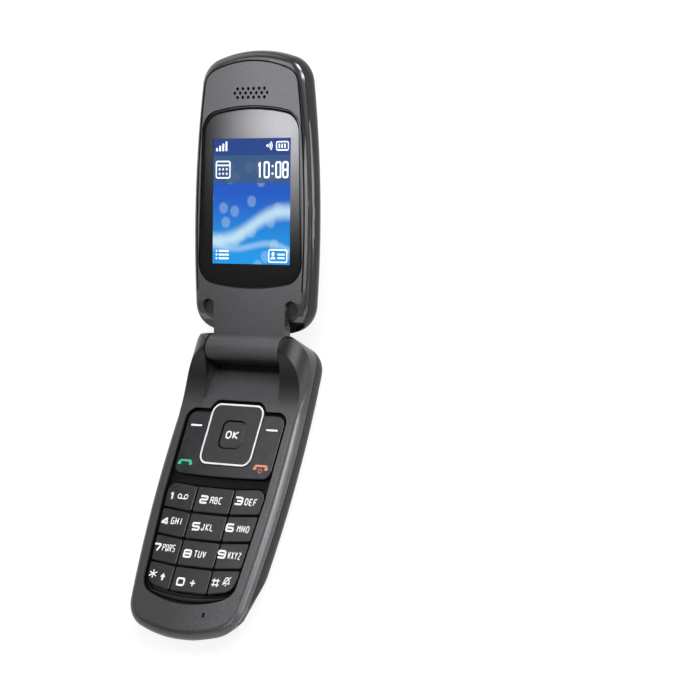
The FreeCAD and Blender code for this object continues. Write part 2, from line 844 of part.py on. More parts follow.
def eyelet_cuts():
    """Two holes in the corner of the forehead, joined by a bent tunnel under a bridge for a strap."""
    inner_x0 = s.eyelet_inner_x - s.eyelet_inner_width / 2
    inner_x1 = s.eyelet_inner_x + s.eyelet_inner_width / 2
    inner_y1 = s.eyelet_inner_y + s.eyelet_inner_length / 2
    inner_y0 = s.eyelet_inner_y - s.eyelet_inner_length / 2
    outer_x0 = s.eyelet_outer_x - s.eyelet_outer_width / 2
    outer_x1 = s.eyelet_outer_x + s.eyelet_outer_width / 2
    outer_y0 = -(s.eyelet_outer_from_axis + s.eyelet_outer_length / 2)
    outer_y1 = s.eyelet_outer_length / 2 - s.eyelet_outer_from_axis
    low, roof = -s.overrun, s.eyelet_depth
    return [
        rounded_block("eyelet_inner", inner_x0, inner_x1, inner_y0, inner_y1, low, roof, s.eyelet_corner),
        rounded_block("eyelet_outer", outer_x0, outer_x1, outer_y0, outer_y1, low, roof, s.eyelet_corner),
        block("eyelet_tunnel", inner_x0, inner_x1, outer_y0, inner_y1, s.eyelet_bridge, roof),
        block("eyelet_bend", inner_x0, outer_x1, outer_y0, outer_y1, s.eyelet_bridge, roof),
    ]


def rear_case():
    bay_half = s.battery_width / 2 + s.battery_room
    upper_half = s.upper_bay_width / 2
    antenna_half = s.antenna_width / 2 + s.fit_gap
    antenna_near = s.fit_gap - ANTENNA_START
    antenna_end = ANTENNA_START + s.antenna_length + s.fit_gap
    low = -s.overrun
    cuts = [
        cover_zone("rear_case_seat", s.seat_gap, low, SEAT),
        block("battery_bay", -bay_half, bay_half, -BATTERY_BAY_END, -BATTERY_BAY_START, low, BAY_ROOF),
        block("upper_bay", -upper_half, upper_half, -UPPER_BAY_END, -s.upper_bay_start, low, BAY_ROOF),
        block("antenna_bay", -antenna_half, antenna_half, -antenna_end, antenna_near, low, BAY_ROOF),
        discs("rear_case_screw_holes", screw_places(), s.screw_radius + s.running_gap, low, SEAM + s.overrun),
        discs("rear_case_screw_heads", screw_places(), s.screw_head_radius + s.fit_gap, low, SCREW_SHOULDER),
    ]
    return base_piece(cut("rear_case", back_plan("rear_case_outside"), *cuts, *eyelet_cuts()))


def case_screws():
    screws = []
    tip = CAVITY_TOP + s.screw_bite
    for number, (x, y) in enumerate(screw_places(), start=1):
        head = disc(f"case_screw_{number}_head", x, y, s.screw_head_radius, SEAT + s.fit_gap, SCREW_SHOULDER)
        shank = disc(f"case_screw_{number}_shank", x, y, s.screw_radius, SCREW_SHOULDER, tip)
        screws.append(join(f"case_screw_{number}", head, shank))
    return base_piece(group("case_screws", screws))


def ear_profile():
    """Side view of the ears: round about the hinge axis, hollow at the shoulder, fading into the rim."""
    meet = s.ear_radius / SHOULDER_SPAN
    lean_y, lean_z = SHOULDER_BACK / SHOULDER_SPAN, -(SHOULDER_UP / SHOULDER_SPAN)
    half_z = lean_z - 1
    stretch = s.shoulder_radius / (lean_y * lean_y + half_z * half_z).root()
    fade_y = -(SHOULDER_BACK + s.shoulder_fade)
    return [
        (fade_y, SEAM),
        (s.ear_radius, SEAM),
        (s.ear_radius, AXIS, ZERO, EAR_TOP),
        (-(SHOULDER_BACK * meet), AXIS + SHOULDER_UP * meet,
         stretch * lean_y - SHOULDER_BACK, AXIS + SHOULDER_UP + stretch * half_z),
        (-SHOULDER_BACK, RIM),
        (fade_y, RIM - s.shoulder_fade_drop),
    ]


def ear_crown():
    """Front view of the ears: a round shoulder from the barrel's end down to the side."""
    offset = s.ear_inside - s.crown_centre_x
    low = EAR_TOP - (s.crown_radius * s.crown_radius - offset * offset).root()
    x, slant = s.crown_centre_x, s.crown_radius * math.sin(EIGHTH_TURN)
    side = x + s.crown_radius
    return [
        (-side, SEAM),
        (side, SEAM),
        (side, low, x + slant, low + slant),
        (x, low + s.crown_radius),
        (-x, low + s.crown_radius, -(x + slant), low + slant),
        (-side, low),
    ]


def ears():
    plan = base_plan("ears_plan", ZERO, SEAM + s.seam_height, EAR_TOP + s.overrun)
    half = s.base_width / 2 + s.overrun
    profile = solid("ears_profile", -half, half, "YZ", paths=[ear_profile()])
    crown = solid("ears_crown", -(s.heel + s.overrun), s.reach, "XZ", paths=[ear_crown()])
    return shared("ears", plan, profile, crown)


def key_room(label, gap, low, high, crescent):
    """Room for all the keys: the function plate, the navigation key's bump and the number block."""
    return [
        function_plan(f"{label}_function", gap, low, high),
        nav_plan(f"{label}_nav", gap, low, high),
        number_plan(f"{label}_numbers", gap, low, high, crescent),
    ]


def front_case():
    plan = base_plan("front_case_plan", ZERO, SEAM + s.seam_height, RIM)
    round_edges(plan, s.front_round, at_level(RIM))
    lip = base_plan("front_case_lip", s.seam_depth, SEAM, SEAM + s.seam_height)
    tub = shared("front_case_tub", join("front_case_shell", plan, lip), *hull("front_case"))
    over = EAR_TOP + s.overrun
    under = SEAM - s.overrun
    inside = s.ear_inside
    panel = [
        (-s.panel_end, RIM),
        (-s.barrel_cut, RIM - s.panel_drop),
        (-s.barrel_cut, over),
        (-s.panel_end, over),
    ]
    mic_y = -MIC_FROM_AXIS
    mic_room = s.mic_radius + s.boot_wall + s.fit_gap
    shaft_end = s.ear_inside + s.shaft_in_ear + s.fit_gap
    shaft_hole = s.shaft_radius + s.running_gap
    socket_near = s.socket_length / 2 + s.fit_gap
    socket_in = s.socket_setback + s.socket_depth + s.fit_gap - s.base_width / 2
    slot_half, slot_reach = s.mic_slot_width / 2, s.mic_slot_length / 2
    cuts = [
        block("barrel_room", -inside, inside, -s.barrel_cut, s.heel + s.overrun, under, over),
        solid("panel_room", -inside, inside, "YZ", paths=[panel]),
        base_tray("front_case_cavity", s.side_wall, s.cavity_hinge_end, under, CAVITY_TOP),
        disc("mic_room", s.mic_x, mic_y, mic_room, under, RIM - s.end_wall),
        block("mic_slot", s.mic_x - slot_half, s.mic_x + slot_half, mic_y - slot_reach, mic_y + slot_reach,
              under, over),
        block("socket_room", -(s.base_width / 2 + s.overrun), socket_in, -(s.socket_from_axis + socket_near),
              socket_near - s.socket_from_axis, BOARD_TOP, BOARD_TOP + s.socket_height + s.fit_gap),
        discs("front_case_screw_holes", screw_places(), s.screw_radius + s.running_gap, under,
              CAVITY_TOP + s.screw_bite + s.fit_gap),
        cross_rod("right_ear_bore", AXIS, shaft_hole, ZERO, shaft_end),
        cross_rod("left_ear_bore", AXIS, shaft_hole, -shaft_end, ZERO),
    ]
    cuts += key_room("recess", s.recess_gap, RECESS_FLOOR, over, s.recess_crescent)
    band_half = s.function_width / 2 + s.recess_gap
    cuts.append(block("recess_band", -band_half, band_half, -(s.number_top + s.block_corner),
                      s.function_corner - s.function_bottom, RECESS_FLOOR, over))
    cuts += key_room("opening", s.opening_gap, under, over, s.number_smile / 2)
    return base_piece(cut("front_case", join("front_case_whole", tub, ears()), *cuts))


# Base electronics


def board_stack():
    inset = s.side_wall + s.board_edge
    board = base_tray("main_board_plan", inset, s.board_hinge_end, SEAM, BOARD_TOP)
    holes = discs("main_board_holes", screw_places(), s.screw_radius + s.running_gap, SEAM - s.overrun,
                  BOARD_TOP + s.overrun)
    base_piece(cut("main_board", board, holes))
    domes = [
        disc(f"dome_{number}", x, y, s.dome_radius, BOARD_TOP, DOME_TOP)
        for number, (x, y) in enumerate(key_middles(), start=1)
    ]
    base_piece(group("key_domes", domes))
    lip = s.recess_gap + s.mat_lip
    mat = join("keymat_plan", *key_room("keymat", lip, MAT_LOW, MAT_TOP, s.number_smile / 2))
    room = base_tray("keymat_room", inset, s.board_hinge_end, MAT_LOW - s.overrun, MAT_TOP + s.overrun)
    base_piece(shared("keymat", mat, room))
    half = s.connector_width / 2
    near = -(s.board_hinge_end + s.running_gap)
    base_piece(block("flex_connector", -half, half, near - s.connector_length, near, BOARD_TOP,
                     BOARD_TOP + s.connector_height))


def end_parts():
    """Microphone in its boot, and the sensor that the lid's magnet works, side by side near the free end."""
    mic_y = -MIC_FROM_AXIS
    mic_top = BOARD_TOP + s.mic_height
    roof = RIM - s.end_wall
    base_piece(disc("microphone", s.mic_x, mic_y, s.mic_radius, BOARD_TOP, mic_top))
    boot = disc("mic_boot_outside", s.mic_x, mic_y, s.mic_radius + s.boot_wall, BOARD_TOP, roof)
    seat = disc("mic_boot_seat", s.mic_x, mic_y, s.mic_radius + s.running_gap, BOARD_TOP - s.overrun, mic_top)
    mouth = disc("mic_boot_mouth", s.mic_x, mic_y, s.mic_slot_length / 2, BOARD_TOP, roof + s.overrun)
    base_piece(cut("mic_boot", boot, seat, mouth))
    half = s.hall_width / 2
    base_piece(block("hall_sensor", -(s.hall_x + half), half - s.hall_x, mic_y - half, mic_y + half,
                     BOARD_TOP, BOARD_TOP + s.hall_height))


def charge_socket():
    mouth_x = s.socket_setback - s.base_width / 2
    half = s.socket_length / 2
    middle = -s.socket_from_axis
    top = BOARD_TOP + s.socket_height
    back_x = mouth_x + s.socket_depth
    body = block("charge_socket_body", mouth_x, back_x, middle - half, middle + half, BOARD_TOP, top)
    lip = s.socket_lip
    mouth = block("charge_socket_mouth", mouth_x - s.overrun, back_x - 2 * lip,
                  middle - half + lip, middle + half - lip, BOARD_TOP + lip, top - lip)
    return base_piece(cut("charge_socket", body, mouth))


def power():
    half = s.battery_width / 2
    top = BATTERY_LOW + s.battery_thick
    base_piece(rounded_block("battery", -half, half, -BATTERY_END, -BATTERY_START, BATTERY_LOW, top,
                             s.battery_corner))
    half = s.contact_width / 2
    near = -(BATTERY_BAY_START + s.fit_gap)
    base_piece(block("battery_contacts", -half, half, near - s.contact_depth, near,
                     BAY_ROOF - s.contact_height, BAY_ROOF))


def sim():
    slot_half = s.sim_width / 2 + s.fit_gap
    half = slot_half + s.sim_rail
    near = -(s.upper_bay_start + s.sim_rail)
    stop = near - s.sim_rail
    far = stop - s.sim_length
    slot_top = BAY_ROOF - s.sim_roof
    slot_low = slot_top - s.sim_thick - s.fit_gap
    low = slot_low - s.sim_rail / 2
    lip = slot_half - s.sim_rail
    body = block("sim_holder_body", -half, half, far, near, low, BAY_ROOF)
    slot = block("sim_holder_slot", -slot_half, slot_half, far - s.overrun, stop, slot_low, slot_top)
    window = block("sim_holder_window", -lip, lip, far - s.overrun, stop, low - s.overrun, slot_top)
    base_piece(cut("sim_holder", body, slot, window))
    card_half = s.sim_width / 2
    card_top = slot_low + s.sim_thick
    base_piece(block("sim_card", -card_half, card_half, far, stop - s.fit_gap, slot_low, card_top))


def vibrator():
    """A pencil motor along the side of the upper bay, with its half-round weight hanging from the shaft."""
    x = s.upper_bay_width / 2 - s.motor_radius - s.motor_room
    z = BAY_ROOF - s.motor_radius - s.running_gap
    far = UPPER_BAY_END - s.motor_room
    near = far - s.motor_length
    can = solid("vibrator_can", near, far, "XZ", circles=[(x, z, s.motor_radius)])
    tip = near - s.motor_shaft_length
    shaft = solid("vibrator_shaft", tip, near, "XZ", circles=[(x, z, s.motor_shaft_radius)])
    base_piece(join("vibrator_motor", can, shaft))
    high = near - s.weight_gap
    low = high - s.weight_length
    half_round = [(x + s.weight_radius, z), (x - s.weight_radius, z, x, z - s.weight_radius)]
    lobe = solid("weight_lobe", low, high, "XZ", paths=[half_round])
    hub = solid("weight_hub", low, high, "XZ", circles=[(x, z, s.weight_hub_radius)])
    bore = solid("weight_bore", low - s.overrun, high + s.overrun, "XZ",
                 circles=[(x, z, s.motor_shaft_radius + s.running_gap)])
    base_piece(cut("vibrator_weight", join("weight_whole", lobe, hub), bore))


def radio():
    outer = s.motor_room - s.upper_bay_width / 2
    near = -(s.upper_bay_start + s.motor_room)
    base_piece(block("rf_shield", outer, outer + s.shield_width, near - s.shield_length, near,
                     BAY_ROOF - s.shield_height, BAY_ROOF))
    half = s.antenna_width / 2
    base_piece(block("antenna", -half, half, -(ANTENNA_START + s.antenna_length), -ANTENNA_START,
                     BAY_ROOF - s.antenna_height, BAY_ROOF))


def hinge_pins():
    end = s.ear_inside + s.shaft_in_ear
    base_piece(cross_rod("hinge_shaft", AXIS, s.shaft_radius, s.barrel_half - s.shaft_in_barrel, end))
    base_piece(cross_rod("hinge_pin", AXIS, s.shaft_radius, -end, s.pin_in_barrel - s.barrel_half))


# Lid, drawn flat


def window_plan(label, gap, low, high):
    bottom_half = s.window_bottom_width / 2 + gap
    top_half = s.window_top_width / 2 + gap
    bottom = s.window_bottom - gap
    top = s.window_top + gap
    path = [
        (-bottom_half, bottom + s.window_bottom_arch, ZERO, bottom),
        (bottom_half, bottom + s.window_bottom_arch),
        (top_half, top - s.window_top_arch, ZERO, top),
        (-top_half, top - s.window_top_arch),
    ]
    return round_edges(plate(label, path, low, high), s.window_corner + gap, upright)


def corner_reliefs(label, wall=ZERO):
    """Room over the lid's hinge corners, which nest in the base's hollow shoulders, grown by a wall."""
    radius = RELIEF_RADIUS - wall
    over = s.panel_height + s.overrun
    nose_y, nose_z = SHOULDER_BACK, -SHOULDER_UP
    end_y = nose_y - radius * math.sin(RELIEF_TURN)
    end_z = nose_z + radius * math.cos(RELIEF_TURN)
    bulge_y = nose_y - radius * math.sin(RELIEF_TURN / 2)
    bulge_z = nose_z + radius * math.cos(RELIEF_TURN / 2)
    path = [
        (nose_y, nose_z + radius),
        (nose_y, over),
        (end_y, over),
        (end_y, end_z, bulge_y, bulge_z),
    ]
    inside = s.neck_half + s.neck_gap - wall
    outside = s.lid_width / 2 + s.overrun
    return [
        solid(f"{label}_right_relief", inside, outside, "YZ", paths=[path]),
        solid(f"{label}_left_relief", -outside, -inside, "YZ", paths=[path]),
    ]


def cap_places():
    return [(s.cap_x, s.cap_at), (-s.cap_x, s.cap_at)]


def speaker_places():
    """Staggered rows of sound holes, symmetric about the middle."""
    spots = []
    for row, count in enumerate(SPEAKER_ROWS):
        y = s.speaker_at + (row - (len(SPEAKER_ROWS) - 1) / 2) * s.speaker_row_pitch
        spots += [((i - (count - 1) / 2) * s.speaker_pitch, y) for i in range(count)]
    return spots


def corner_pads():
    """Thick hinge corners of the inner case, which the reliefs then hollow."""
    plan = lid_plan("corner_pads_plan", LID_OPENING + s.fit_gap, HOLLOW_TOP, PANEL_LOW)
    side = s.lid_width / 2
    right = block("corner_pad_right", s.neck_half, side, ZERO, SHOULDER_BACK, HOLLOW_TOP, PANEL_LOW)
    left = block("corner_pad_left", -side, -s.neck_half, ZERO, SHOULDER_BACK, HOLLOW_TOP, PANEL_LOW)
    return shared("corner_pads", plan, join("corner_pad_blocks", right, left))


def lid_inner_case():
    flat = lid_plan("inner_case_flat", PANEL_SEAT + s.fit_gap, PANEL_LOW, s.panel_height, s.panel_end_drop)
    panel = shared("inner_case_panel", flat, lid_shell("inner_case_shell"))
    neck = block("neck", -s.neck_half, s.neck_half, ZERO, s.neck_length, -s.neck_drop, s.panel_height)
    barrel = cross_rod("barrel", ZERO, s.barrel_radius, -s.barrel_half, s.barrel_half)
    bosses = discs("inner_case_bosses", cap_places(), s.lid_boss_radius, -s.lid_boss_drop, PANEL_LOW)
    over, under = s.panel_height + s.overrun, -(s.lid_back_drop + s.overrun)
    head_low = CAP_LOW - s.lid_screw_head_height
    view_half = s.view_width / 2 + s.view_margin
    view_end = s.view_bottom + s.view_length + s.view_margin
    bore_end = s.pin_in_barrel + s.fit_gap - s.barrel_half
    flex_half = s.flex_width / 2 + s.flex_room
    flex_x = bore_end + s.flex_bore_length / 2
    cuts = [
        window_plan("window_seat", s.window_gap, WINDOW_LOW, over),
        block("view_opening", -view_half, view_half, s.view_bottom - s.view_margin, view_end, under, over),
        discs("speaker_holes", speaker_places(), s.speaker_hole_radius, under, over),
        discs("cap_seats", cap_places(), s.cap_radius + s.running_gap, CAP_LOW, over),
        discs("head_seats", cap_places(), s.lid_screw_head_radius + s.fit_gap, head_low, over),
        discs("inner_case_screw_holes", cap_places(), s.screw_radius + s.running_gap, under, over),
        cross_rod("cartridge_bore", ZERO, s.cartridge_radius + s.running_gap,
                  s.barrel_half - s.cartridge_length - s.fit_gap, s.barrel_half + s.overrun),
        cross_rod("pin_bore", ZERO, s.shaft_radius + s.running_gap, -(s.barrel_half + s.overrun), bore_end),
        cross_rod("flex_bore", ZERO, s.flex_bore_radius, bore_end, bore_end + s.flex_bore_length),
        block("flex_slot", flex_x - flex_half, flex_x + flex_half, ZERO, s.neck_length + s.overrun,
              -(s.flex_drop + s.flex_room), s.flex_thick + s.flex_room - s.flex_drop),
    ]
    whole = join("inner_case_whole", panel, neck, barrel, bosses, corner_pads())
    return lid_piece(cut("lid_inner_case", whole, *cuts, *corner_reliefs("inner_case")))


def lid_shell(label):
    """The lid's full outside, rounded over towards the reader and towards the back."""
    body = lid_plan(label, ZERO, -s.lid_back_drop, s.panel_height)
    round_edges(body, s.lid_front_round, at_level(s.panel_height))
    return round_edges(body, s.lid_back_round, at_level(-s.lid_back_drop))


def lid_rooms(label):
    """What the rim and the outer cover leave free for the neck, the screw bosses and the base's shoulders."""
    over = s.panel_height + s.overrun
    half = s.neck_half + s.neck_gap
    neck_low = -(s.neck_drop + s.neck_gap)
    boss_room = s.lid_boss_radius + s.fit_gap
    return [
        block(f"{label}_neck_room", -half, half, ZERO, s.neck_length, neck_low, over),
        cross_rod(f"{label}_barrel_room", ZERO, s.barrel_radius + s.neck_gap, -half, half),
        discs(f"{label}_boss_room", cap_places(), boss_room, -s.lid_boss_drop, over),
        *corner_reliefs(label),
    ]


def lid_frame():
    over, under = s.panel_height + s.overrun, FRAME_LOW - s.overrun
    zone = lid_plan("lid_frame_zone", s.frame_inset, FRAME_LOW, over)
    ring = shared("lid_frame_ring", lid_shell("lid_frame_shell"), zone)
    seat = lid_plan("lid_panel_seat", PANEL_SEAT, PANEL_LOW, over, s.panel_end_drop)
    inside = lid_plan("lid_frame_inside", LID_OPENING, under, over, s.panel_end_drop)
    return lid_piece(cut("lid_frame", ring, seat, inside, *lid_rooms("lid_frame")))


def lid_outer_cover():
    over = s.panel_height + s.overrun
    hollow = lid_plan("outer_cover_hollow", s.lid_wall, LID_FLOOR, HOLLOW_TOP)
    round_edges(hollow, s.lid_back_round - s.lid_wall, at_level(LID_FLOOR))
    cuts = [
        cut("outer_cover_room", hollow, *corner_reliefs("outer_cover_room", s.lid_wall)),
        lid_plan("outer_cover_opening", LID_OPENING, HOLLOW_TOP - s.fit_gap, over, s.panel_end_drop),
        lid_plan("outer_cover_frame_room", s.frame_inset - s.fit_gap, FRAME_LOW, over),
    ]
    tray = cut("outer_cover_tray", lid_shell("outer_cover_shell"), *cuts, *lid_rooms("outer_cover"))
    root = LID_FLOOR - s.lid_wall / 2
    bosses = discs("outer_cover_bosses", cap_places(), s.lid_boss_radius, root, -s.lid_boss_drop)
    hole_radius = s.screw_radius + s.running_gap
    holes = discs("outer_cover_screw_holes", cap_places(), hole_radius, LID_FLOOR, ZERO)
    return lid_piece(cut("lid_outer_cover", join("outer_cover_whole", tray, bosses), holes))


def display():
    lid_piece(window_plan("screen_window", ZERO, WINDOW_LOW, WINDOW_TOP))
    half = s.lcd_width / 2
    low = s.view_bottom - s.lcd_chin
    lid_piece(block("lcd_panel", -half, half, low, low + s.lcd_length, LCD_LOW, PANEL_LOW))
    lid_piece(block("backlight", -half, half, low, low + s.lcd_length, BACKLIGHT_LOW, LCD_LOW))
    half = s.lid_board_width / 2
    lid_piece(block("lid_board", -half, half, low, low + s.lid_board_length,
                    BACKLIGHT_LOW - s.lid_board_thick, BACKLIGHT_LOW))


def sound():
    half, reach = s.earpiece_width / 2, s.earpiece_length / 2
    y0, y1 = s.speaker_at - reach, s.speaker_at + reach
    low = PANEL_LOW - s.gasket_height
    wall = s.gasket_wall
    seal = block("gasket_outside", -half, half, y0, y1, low, PANEL_LOW)
    mouth = block("gasket_mouth", wall - half, half - wall, y0 + wall, y1 - wall, low - s.overrun,
                  PANEL_LOW + s.overrun)
    lid_piece(cut("earpiece_gasket", seal, mouth))
    lid_piece(block("earpiece", -half, half, y0, y1, low - s.earpiece_height, low))


def lid_magnet():
    half, reach = s.magnet_width / 2, s.magnet_length / 2
    y0, y1 = MIC_FROM_AXIS - reach, MIC_FROM_AXIS + reach
    return lid_piece(block("lid_magnet", -(s.hall_x + half), half - s.hall_x, y0, y1,
                           PANEL_LOW - s.magnet_height, PANEL_LOW))


def lid_fasteners():
    screws = []
    shoulder = CAP_LOW - s.lid_screw_head_height
    for number, (x, y) in enumerate(cap_places(), start=1):
        head = disc(f"lid_screw_{number}_head", x, y, s.lid_screw_head_radius, shoulder, CAP_LOW - s.fit_gap)
        shank = disc(f"lid_screw_{number}_shank", x, y, s.screw_radius, LID_FLOOR + s.lid_screw_end, shoulder)
        screws.append(join(f"lid_screw_{number}", head, shank))
    lid_piece(group("lid_screws", screws))
    caps = [
        disc(f"cap_{number}", x, y, s.cap_radius, CAP_LOW, CAP_TOP)
        for number, (x, y) in enumerate(cap_places(), start=1)
    ]
    lid_piece(group("screw_caps", caps))


def hinge_in_lid():
    low = s.barrel_half - s.cartridge_length
    body = cross_rod("cartridge_body", ZERO, s.cartridge_radius, low, s.barrel_half)
    bore = cross_rod("cartridge_socket", ZERO, s.shaft_radius + s.running_gap,
                     s.barrel_half - s.shaft_in_barrel - s.fit_gap, s.barrel_half + s.overrun)
    lid_piece(cut("hinge_cartridge", body, bore))
    bore_end = s.pin_in_barrel + s.fit_gap - s.barrel_half
    middle = bore_end + s.flex_bore_length / 2
    half = s.flex_width / 2
    outside = cross_rod("flex_outside", ZERO, s.flex_roll_radius, middle - half, middle + half)
    inside = cross_rod("flex_inside", ZERO, s.flex_roll_radius - s.flex_roll_wall, middle - half - s.overrun,
                       middle + half + s.overrun)
    roll = cut("flex_roll", outside, inside)
    start = s.flex_roll_radius - s.flex_roll_wall
    strip = block("flex_strip", middle - half, middle + half, start, s.view_bottom - s.lcd_chin - s.fit_gap,
                  -s.flex_drop, s.flex_thick - s.flex_drop)
    lid_piece(join("hinge_flex", roll, strip))


def check_model():
    doc.recompute()
    failed = [item.Name for item in doc.Objects if {"Invalid", "Error"} & set(item.State)]
    broken = [item.Label for item in pieces if item.Shape.isNull() or not item.Shape.isValid()]
    if failed or broken:
        raise SystemExit(f"failed: {failed} broken: {broken}")


def write_pieces():
    os.makedirs("parts", exist_ok=True)
    for piece in pieces:
        piece.Shape.exportStep(f"parts/{piece.Label}.step")


front_case()
rear_case()
battery_cover()
case_screws()
keys()
board_stack()
end_parts()
charge_socket()
power()
sim()
vibrator()
radio()
hinge_pins()
lid_inner_case()
lid_frame()
lid_outer_cover()
display()
sound()
lid_magnet()
lid_fasteners()
hinge_in_lid()
check_model()
write_pieces()
for piece in pieces:
    print(f"{piece.Label}: {len(piece.Shape.Solids)} solids, {piece.Shape.Volume:.1f} mm3")
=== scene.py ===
import json
import math

import bmesh
import bpy
from mathutils import Matrix, Vector


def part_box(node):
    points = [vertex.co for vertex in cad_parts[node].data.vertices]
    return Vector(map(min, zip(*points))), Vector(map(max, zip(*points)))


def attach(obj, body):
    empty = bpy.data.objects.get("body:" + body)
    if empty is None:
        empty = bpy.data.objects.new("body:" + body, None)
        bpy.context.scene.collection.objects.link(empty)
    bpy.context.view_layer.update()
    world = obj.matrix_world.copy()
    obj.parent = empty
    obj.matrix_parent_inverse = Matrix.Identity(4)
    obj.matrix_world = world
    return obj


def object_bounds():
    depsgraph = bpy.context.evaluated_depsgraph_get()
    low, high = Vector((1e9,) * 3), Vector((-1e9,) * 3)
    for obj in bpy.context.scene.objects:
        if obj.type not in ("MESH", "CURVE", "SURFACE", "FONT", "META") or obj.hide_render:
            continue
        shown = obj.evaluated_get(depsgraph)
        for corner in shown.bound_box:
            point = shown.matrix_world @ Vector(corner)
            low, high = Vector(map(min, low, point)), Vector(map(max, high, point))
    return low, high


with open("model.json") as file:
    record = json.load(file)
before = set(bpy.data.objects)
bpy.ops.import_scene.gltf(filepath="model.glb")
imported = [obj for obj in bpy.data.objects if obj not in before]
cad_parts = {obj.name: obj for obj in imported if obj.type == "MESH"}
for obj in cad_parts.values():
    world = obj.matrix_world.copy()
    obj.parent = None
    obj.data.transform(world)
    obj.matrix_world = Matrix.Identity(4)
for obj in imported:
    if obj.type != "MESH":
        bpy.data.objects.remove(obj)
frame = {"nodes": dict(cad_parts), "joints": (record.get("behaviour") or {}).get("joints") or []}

CAD_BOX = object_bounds()
NODES = frame["nodes"]
MM = 0.001

# The lid's own axes: x along the hinge, y up the lid from the hinge, z out of its inner face
HINGE = next(joint for joint in frame["joints"] if joint["name"] == "lid_hinge")
LID_TILT = math.radians(180 - HINGE["range_deg"][1])
LID = Matrix.Translation(HINGE["pos_m"]) @ Matrix.Rotation(LID_TILT, 4, "X")
BASE = Matrix.Identity(4)

# The camera, in millimetres and directions of the part's frame, with its clipping in metres
CAMERA_PLACE = Vector((459.83, -194.11, 539.92))
CAMERA_LOOK = Vector((-0.60193, 0.27662, -0.74911))
CAMERA_UP = Vector((-0.03782, 0.92716, 0.37275))
CAMERA_LENS = 133.44
CAMERA_SENSOR = 36.0
CAMERA_CLIP = (0.01, 20.0)

# The floor and its wall, in metres, with the gap under the part in millimetres
FLOOR_RADIUS = 2.4
FLOOR_HOLE = 0.02
FLOOR_STEPS = 96
FLOOR_GAP = 0.05
COVE_RADIUS = 0.8
COVE_STEPS = 12
WALL_TOP = 2.2
WELD = 0.001

# The floor's glow, which grows over a stretch in metres, and its greys where it is seen and unseen
FLOOR_FADE = (0.2, 0.9)
FLOOR_GLOW = (0.86, 1.0)
FLOOR_SEEN = 0.2
FLOOR_UNSEEN = 0.8

# Light panels: place and size in metres, strength, share of soft edge, and whether the panel lies level
LIGHTS = {
    "light_right": ((0.70, 0.26, 0.85), (0.34, 0.8), 10.5, 0.35, False),
    "light_low": ((1.10, 0.05, 0.28), (0.24, 0.9), 7.0, 0.35, False),
    "light_left": ((-0.44, 0.19, 0.8), (0.58, 0.42), 2.1, 0.3, True),
    "light_overhead": ((0.06, -0.42, 0.95), (0.7, 0.5), 2.2, 0.35, False),
    "light_back": ((0.30, 0.72, 0.85), (0.46, 0.46), 15.0, 0.35, False),
}
SURROUND_STRENGTH = 0.22

# Colour and roughness of the plain materials
LOOKS = {
    "lid_rim": ((0.118, 0.118, 0.124), 0.2),
    "lid_black": ((0.004, 0.004, 0.005), 0.12),
    "lid_caps": ((0.018, 0.018, 0.019), 0.35),
    "keys": ((0.008, 0.0085, 0.010), 0.18),
    "plate": ((0.008, 0.0085, 0.011), 0.16),
    "nav": ((0.014, 0.014, 0.016), 0.24),
    "lip_black": ((0.004, 0.004, 0.005), 0.10),
    "window_edge": ((0.004, 0.004, 0.004), 0.3),
    # The dark strip in the lid's seam is painted shade
    "panel_seam_shade": ((0.003, 0.003, 0.003), 0.4),
    "display": ((0.01, 0.012, 0.02), 0.06),
    "light_guide": ((0.80, 0.81, 0.83), 0.3),
    "rubber": ((0.006, 0.006, 0.006), 0.5),
    "board": ((0.012, 0.10, 0.04), 0.35),
    "steel": ((0.60, 0.60, 0.61), 0.3),
    "black_parts": ((0.01, 0.01, 0.01), 0.45),
    "flex": ((0.30, 0.12, 0.02), 0.35),
    "battery": ((0.05, 0.052, 0.06), 0.4),
    "sim_card": ((0.75, 0.75, 0.72), 0.35),
}

# Colour and glow of the inks: on the keys the glow is painted light, on the screen it is the display's own
# light
INKS = {
    "ink_white": ((0.86, 0.87, 0.88), 0.12),
    "ink_green": ((0.02, 0.50, 0.28), 0.15),
    "ink_peach": ((0.72, 0.26, 0.16), 0.15),
    "ink_rose": ((0.55, 0.10, 0.16), 0.1),
    "screen_white": ((0.95, 0.97, 1.0), 0.9),
}
INK_DRIFT = (0.5, 0.92, 1.0)
INK_ROUGH = 0.45

# How plastic varies, sizes in millimetres: a drift has its blotches' size and the tones it runs between
NOISE_SPREAD = (0.3, 0.7)
PAINT_DRIFT = (6.0, 0.9, 1.1)
ROUGH_BLOTCH = 2.5
ROUGH_SWING = 0.04
GRAIN_SIZE = 0.2
GRAIN_DEPTH = 0.004
KEY_GRAIN_DEPTH = 0.0005
GLOSS_DRIFT = (5.0, 0.85, 1.15)
GLOSS_ROUGH_BLOTCH = 4.0
GLOSS_ROUGH_SHARES = (0.96, 1.04)
PEEL_SIZE = 6.0
PEEL_DEPTH = 0.002
RIM_METALLIC = 0.85
SEAM_SPECULAR = 0.1

# Brushed steel: how the noise is stretched, its scale, tones and roughness
BRUSHING = (0.15, 3.0, 3.0)
BRUSH_SCALE = 2.0
BRUSH_DETAIL = 2.0
BRUSH_TONES = (0.9, 1.05)
BRUSH_ROUGH_SHARES = (0.8, 1.2)

# Pale flecks in the charcoal paint, size in millimetres
FLECK_SIZE = 0.20
FLECK_EDGE = (0.56, 0.76)
FLECK_TONE = 3.5
FLECKS = 0.5

